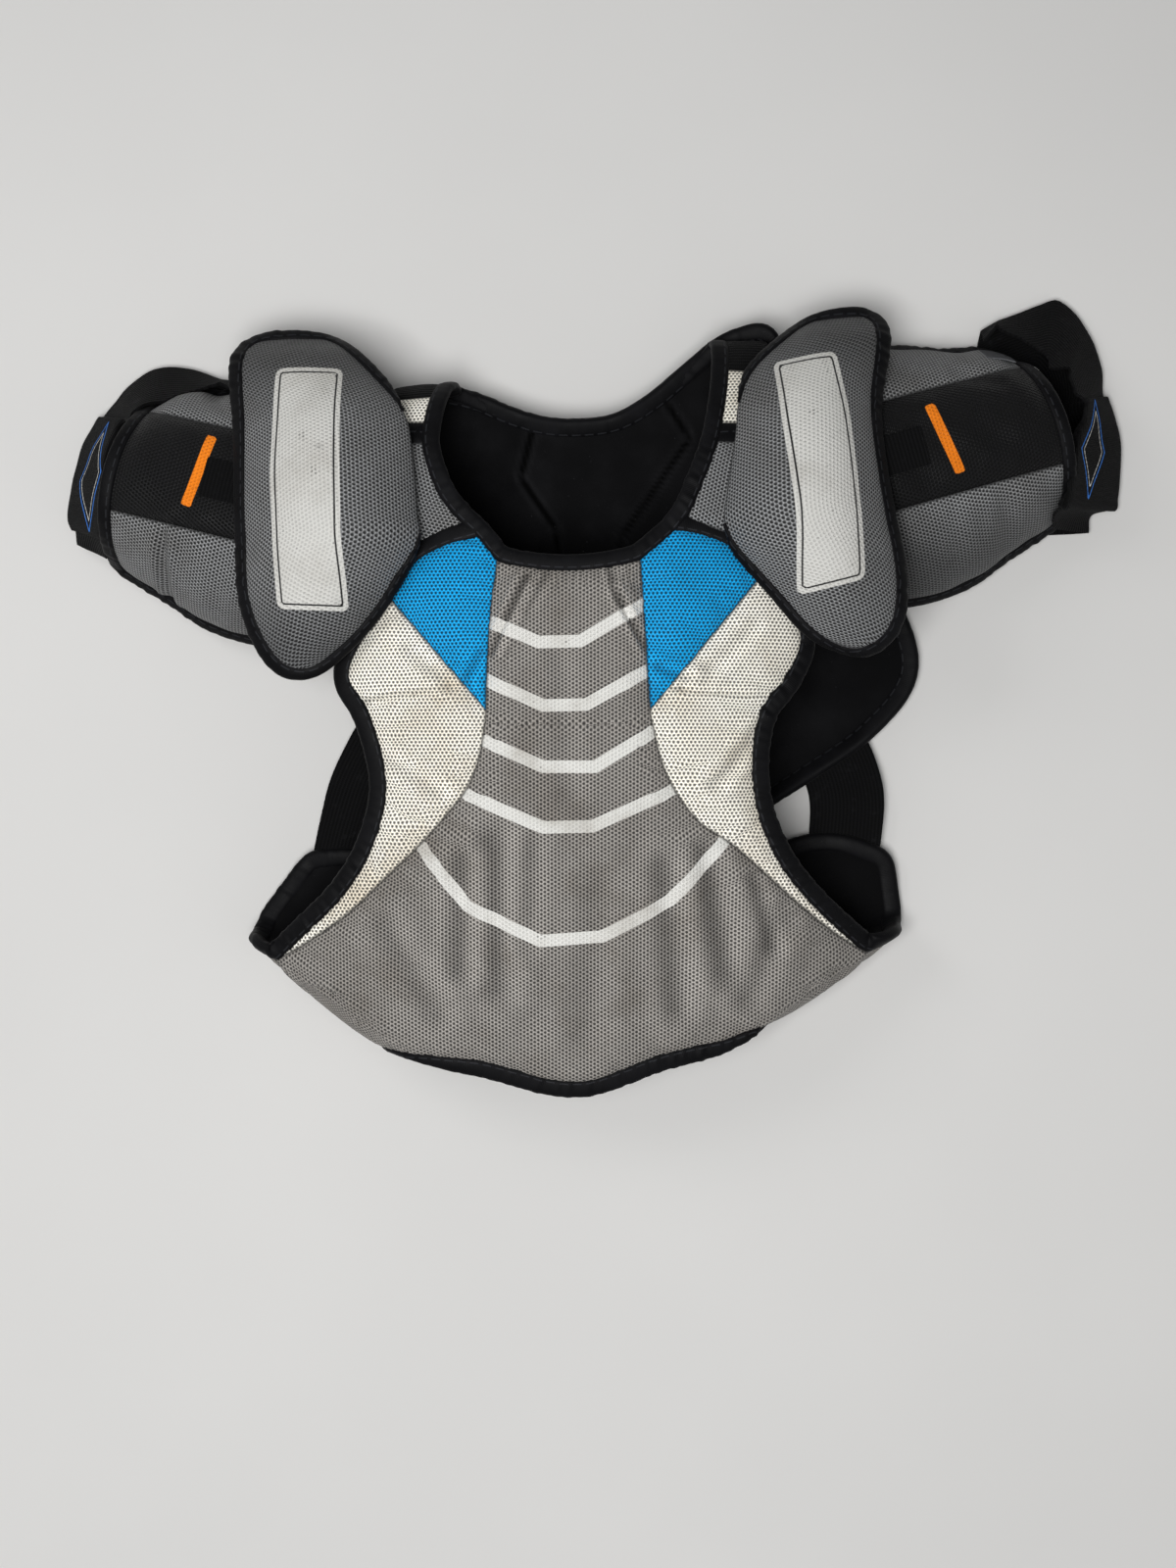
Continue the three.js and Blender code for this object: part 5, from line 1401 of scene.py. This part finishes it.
def build_elastics():
    """The elastics from the wings to the back, and the small bare tag on the left guard."""
    for side in SIDES:
        t = np.linspace(0, 1, 60)[:, None, None]
        low, high = (curve(edge, t[:, 0, 0])[:, None] for edge in ELASTICS[side])
        flat = mix(low, high, np.linspace(0, 1, 30)[None, :, None])
        height = mix(*ELASTIC_ENDS_Z, t) + ELASTIC_ARCH * 4 * np.maximum(0, t * (1 - t))
        grid = np.concatenate([flat, np.broadcast_to(height, flat.shape[:2] + (1,))], -1)
        sheet = Sheet((grid, cloth_uv(grid)[..., ::-1]))
        ripple = unevenness(sheet.points, 28, 0.6, 151)
        strip(f"side_{side}_elastic", "black_elastic", sheet, WEBBING + ripple, ripple,
              ["black_elastic"])
    t = np.linspace(LABEL["from"], LABEL["to"], 24)[None]
    table = curve(ARM_ROWS, t)
    b = mix(table[..., 1], table[..., 2], np.linspace(LABEL["high"], LABEL["low"], 10)[:, None])
    grid = arm_place("left", np.broadcast_to(t, b.shape), b)[0]
    sheet = Sheet((grid, cloth_uv(grid)))
    lift = LABEL["lift"] + 0.4 * np.sin(sheet.uv[:, 0] / 5)
    strip("arm_left_label", "label", sheet, lift + LABEL["thickness"], lift,
          ["label"])


# Operators

class PROTECTOR_OT_stage(bpy.types.Operator):
    """Make the floor, the lights and the camera"""
    bl_idname = "protector.stage"
    bl_label = "Stage"

    def execute(self, context):
        build_stage()
        return {"FINISHED"}


class PROTECTOR_OT_chest(bpy.types.Operator):
    """Make the chest's foam and its mesh covers"""
    bl_idname = "protector.chest"
    bl_label = "Chest"

    def execute(self, context):
        build_chest()
        return {"FINISHED"}


class PROTECTOR_OT_back(bpy.types.Operator):
    """Make the back panel, its lining and its tape"""
    bl_idname = "protector.back"
    bl_label = "Back"

    def execute(self, context):
        build_back()
        return {"FINISHED"}


class PROTECTOR_OT_yokes(bpy.types.Operator):
    """Make the strips over the shoulders"""
    bl_idname = "protector.yokes"
    bl_label = "Yokes"

    def execute(self, context):
        build_yokes()
        return {"FINISHED"}


class PROTECTOR_OT_chest_tapes(bpy.types.Operator):
    """Make the tapes round the chest and the neck"""
    bl_idname = "protector.chest_tapes"
    bl_label = "Chest and neck tapes"

    def execute(self, context):
        build_chest_tapes()
        return {"FINISHED"}


class PROTECTOR_OT_caps(bpy.types.Operator):
    """Make the shoulder caps and their tapes"""
    bl_idname = "protector.caps"
    bl_label = "Shoulder caps"

    def execute(self, context):
        build_caps()
        return {"FINISHED"}


class PROTECTOR_OT_arms(bpy.types.Operator):
    """Make the upper arm guards, their tapes and tabs"""
    bl_idname = "protector.arms"
    bl_label = "Arm guards"

    def execute(self, context):
        build_arms()
        return {"FINISHED"}


class PROTECTOR_OT_straps(bpy.types.Operator):
    """Make the arm straps and their flaps"""
    bl_idname = "protector.straps"
    bl_label = "Arm straps"

    def execute(self, context):
        build_straps()
        return {"FINISHED"}


class PROTECTOR_OT_elastics(bpy.types.Operator):
    """Make the side elastics and the tag"""
    bl_idname = "protector.elastics"
    bl_label = "Elastics and tag"

    def execute(self, context):
        build_elastics()
        return {"FINISHED"}


class PROTECTOR_PT_panel(bpy.types.Panel):
    """Sizes, colours and the steps that build the protector"""
    bl_idname = "PROTECTOR_PT_panel"
    bl_label = "Chest protector"
    bl_space_type = "VIEW_3D"
    bl_region_type = "UI"
    bl_category = "Protector"

    def draw(self, context):
        for group in (context.scene.protector_sizes, context.scene.protector_colours):
            for key in group.bl_rna.properties.keys():
                if key not in {"rna_type", "name"}:
                    self.layout.prop(group, key)
        for step in STEPS:
            self.layout.operator(step.bl_idname)


STEPS = (
    PROTECTOR_OT_stage, PROTECTOR_OT_chest, PROTECTOR_OT_back, PROTECTOR_OT_yokes, PROTECTOR_OT_chest_tapes,
    PROTECTOR_OT_caps, PROTECTOR_OT_arms, PROTECTOR_OT_straps, PROTECTOR_OT_elastics,
)
CLASSES = (ProtectorSizes, ProtectorColours, *STEPS, PROTECTOR_PT_panel)


def register():
    """Registers the classes and puts the sizes and colours on the scene."""
    for kind in CLASSES:
        bpy.utils.register_class(kind)
    bpy.types.Scene.protector_sizes = PointerProperty(type=ProtectorSizes)
    bpy.types.Scene.protector_colours = PointerProperty(type=ProtectorColours)


def unregister():
    """Takes the sizes, the colours and the classes away again."""
    del bpy.types.Scene.protector_colours
    del bpy.types.Scene.protector_sizes
    for kind in reversed(CLASSES):
        bpy.utils.unregister_class(kind)


def main():
    """Builds everything in order."""
    register()
    bpy.ops.protector.stage()
    bpy.ops.protector.chest()
    bpy.ops.protector.back()
    bpy.ops.protector.yokes()
    bpy.ops.protector.chest_tapes()
    bpy.ops.protector.caps()
    bpy.ops.protector.arms()
    bpy.ops.protector.straps()
    bpy.ops.protector.elastics()


if __name__ == "__main__":
    main()
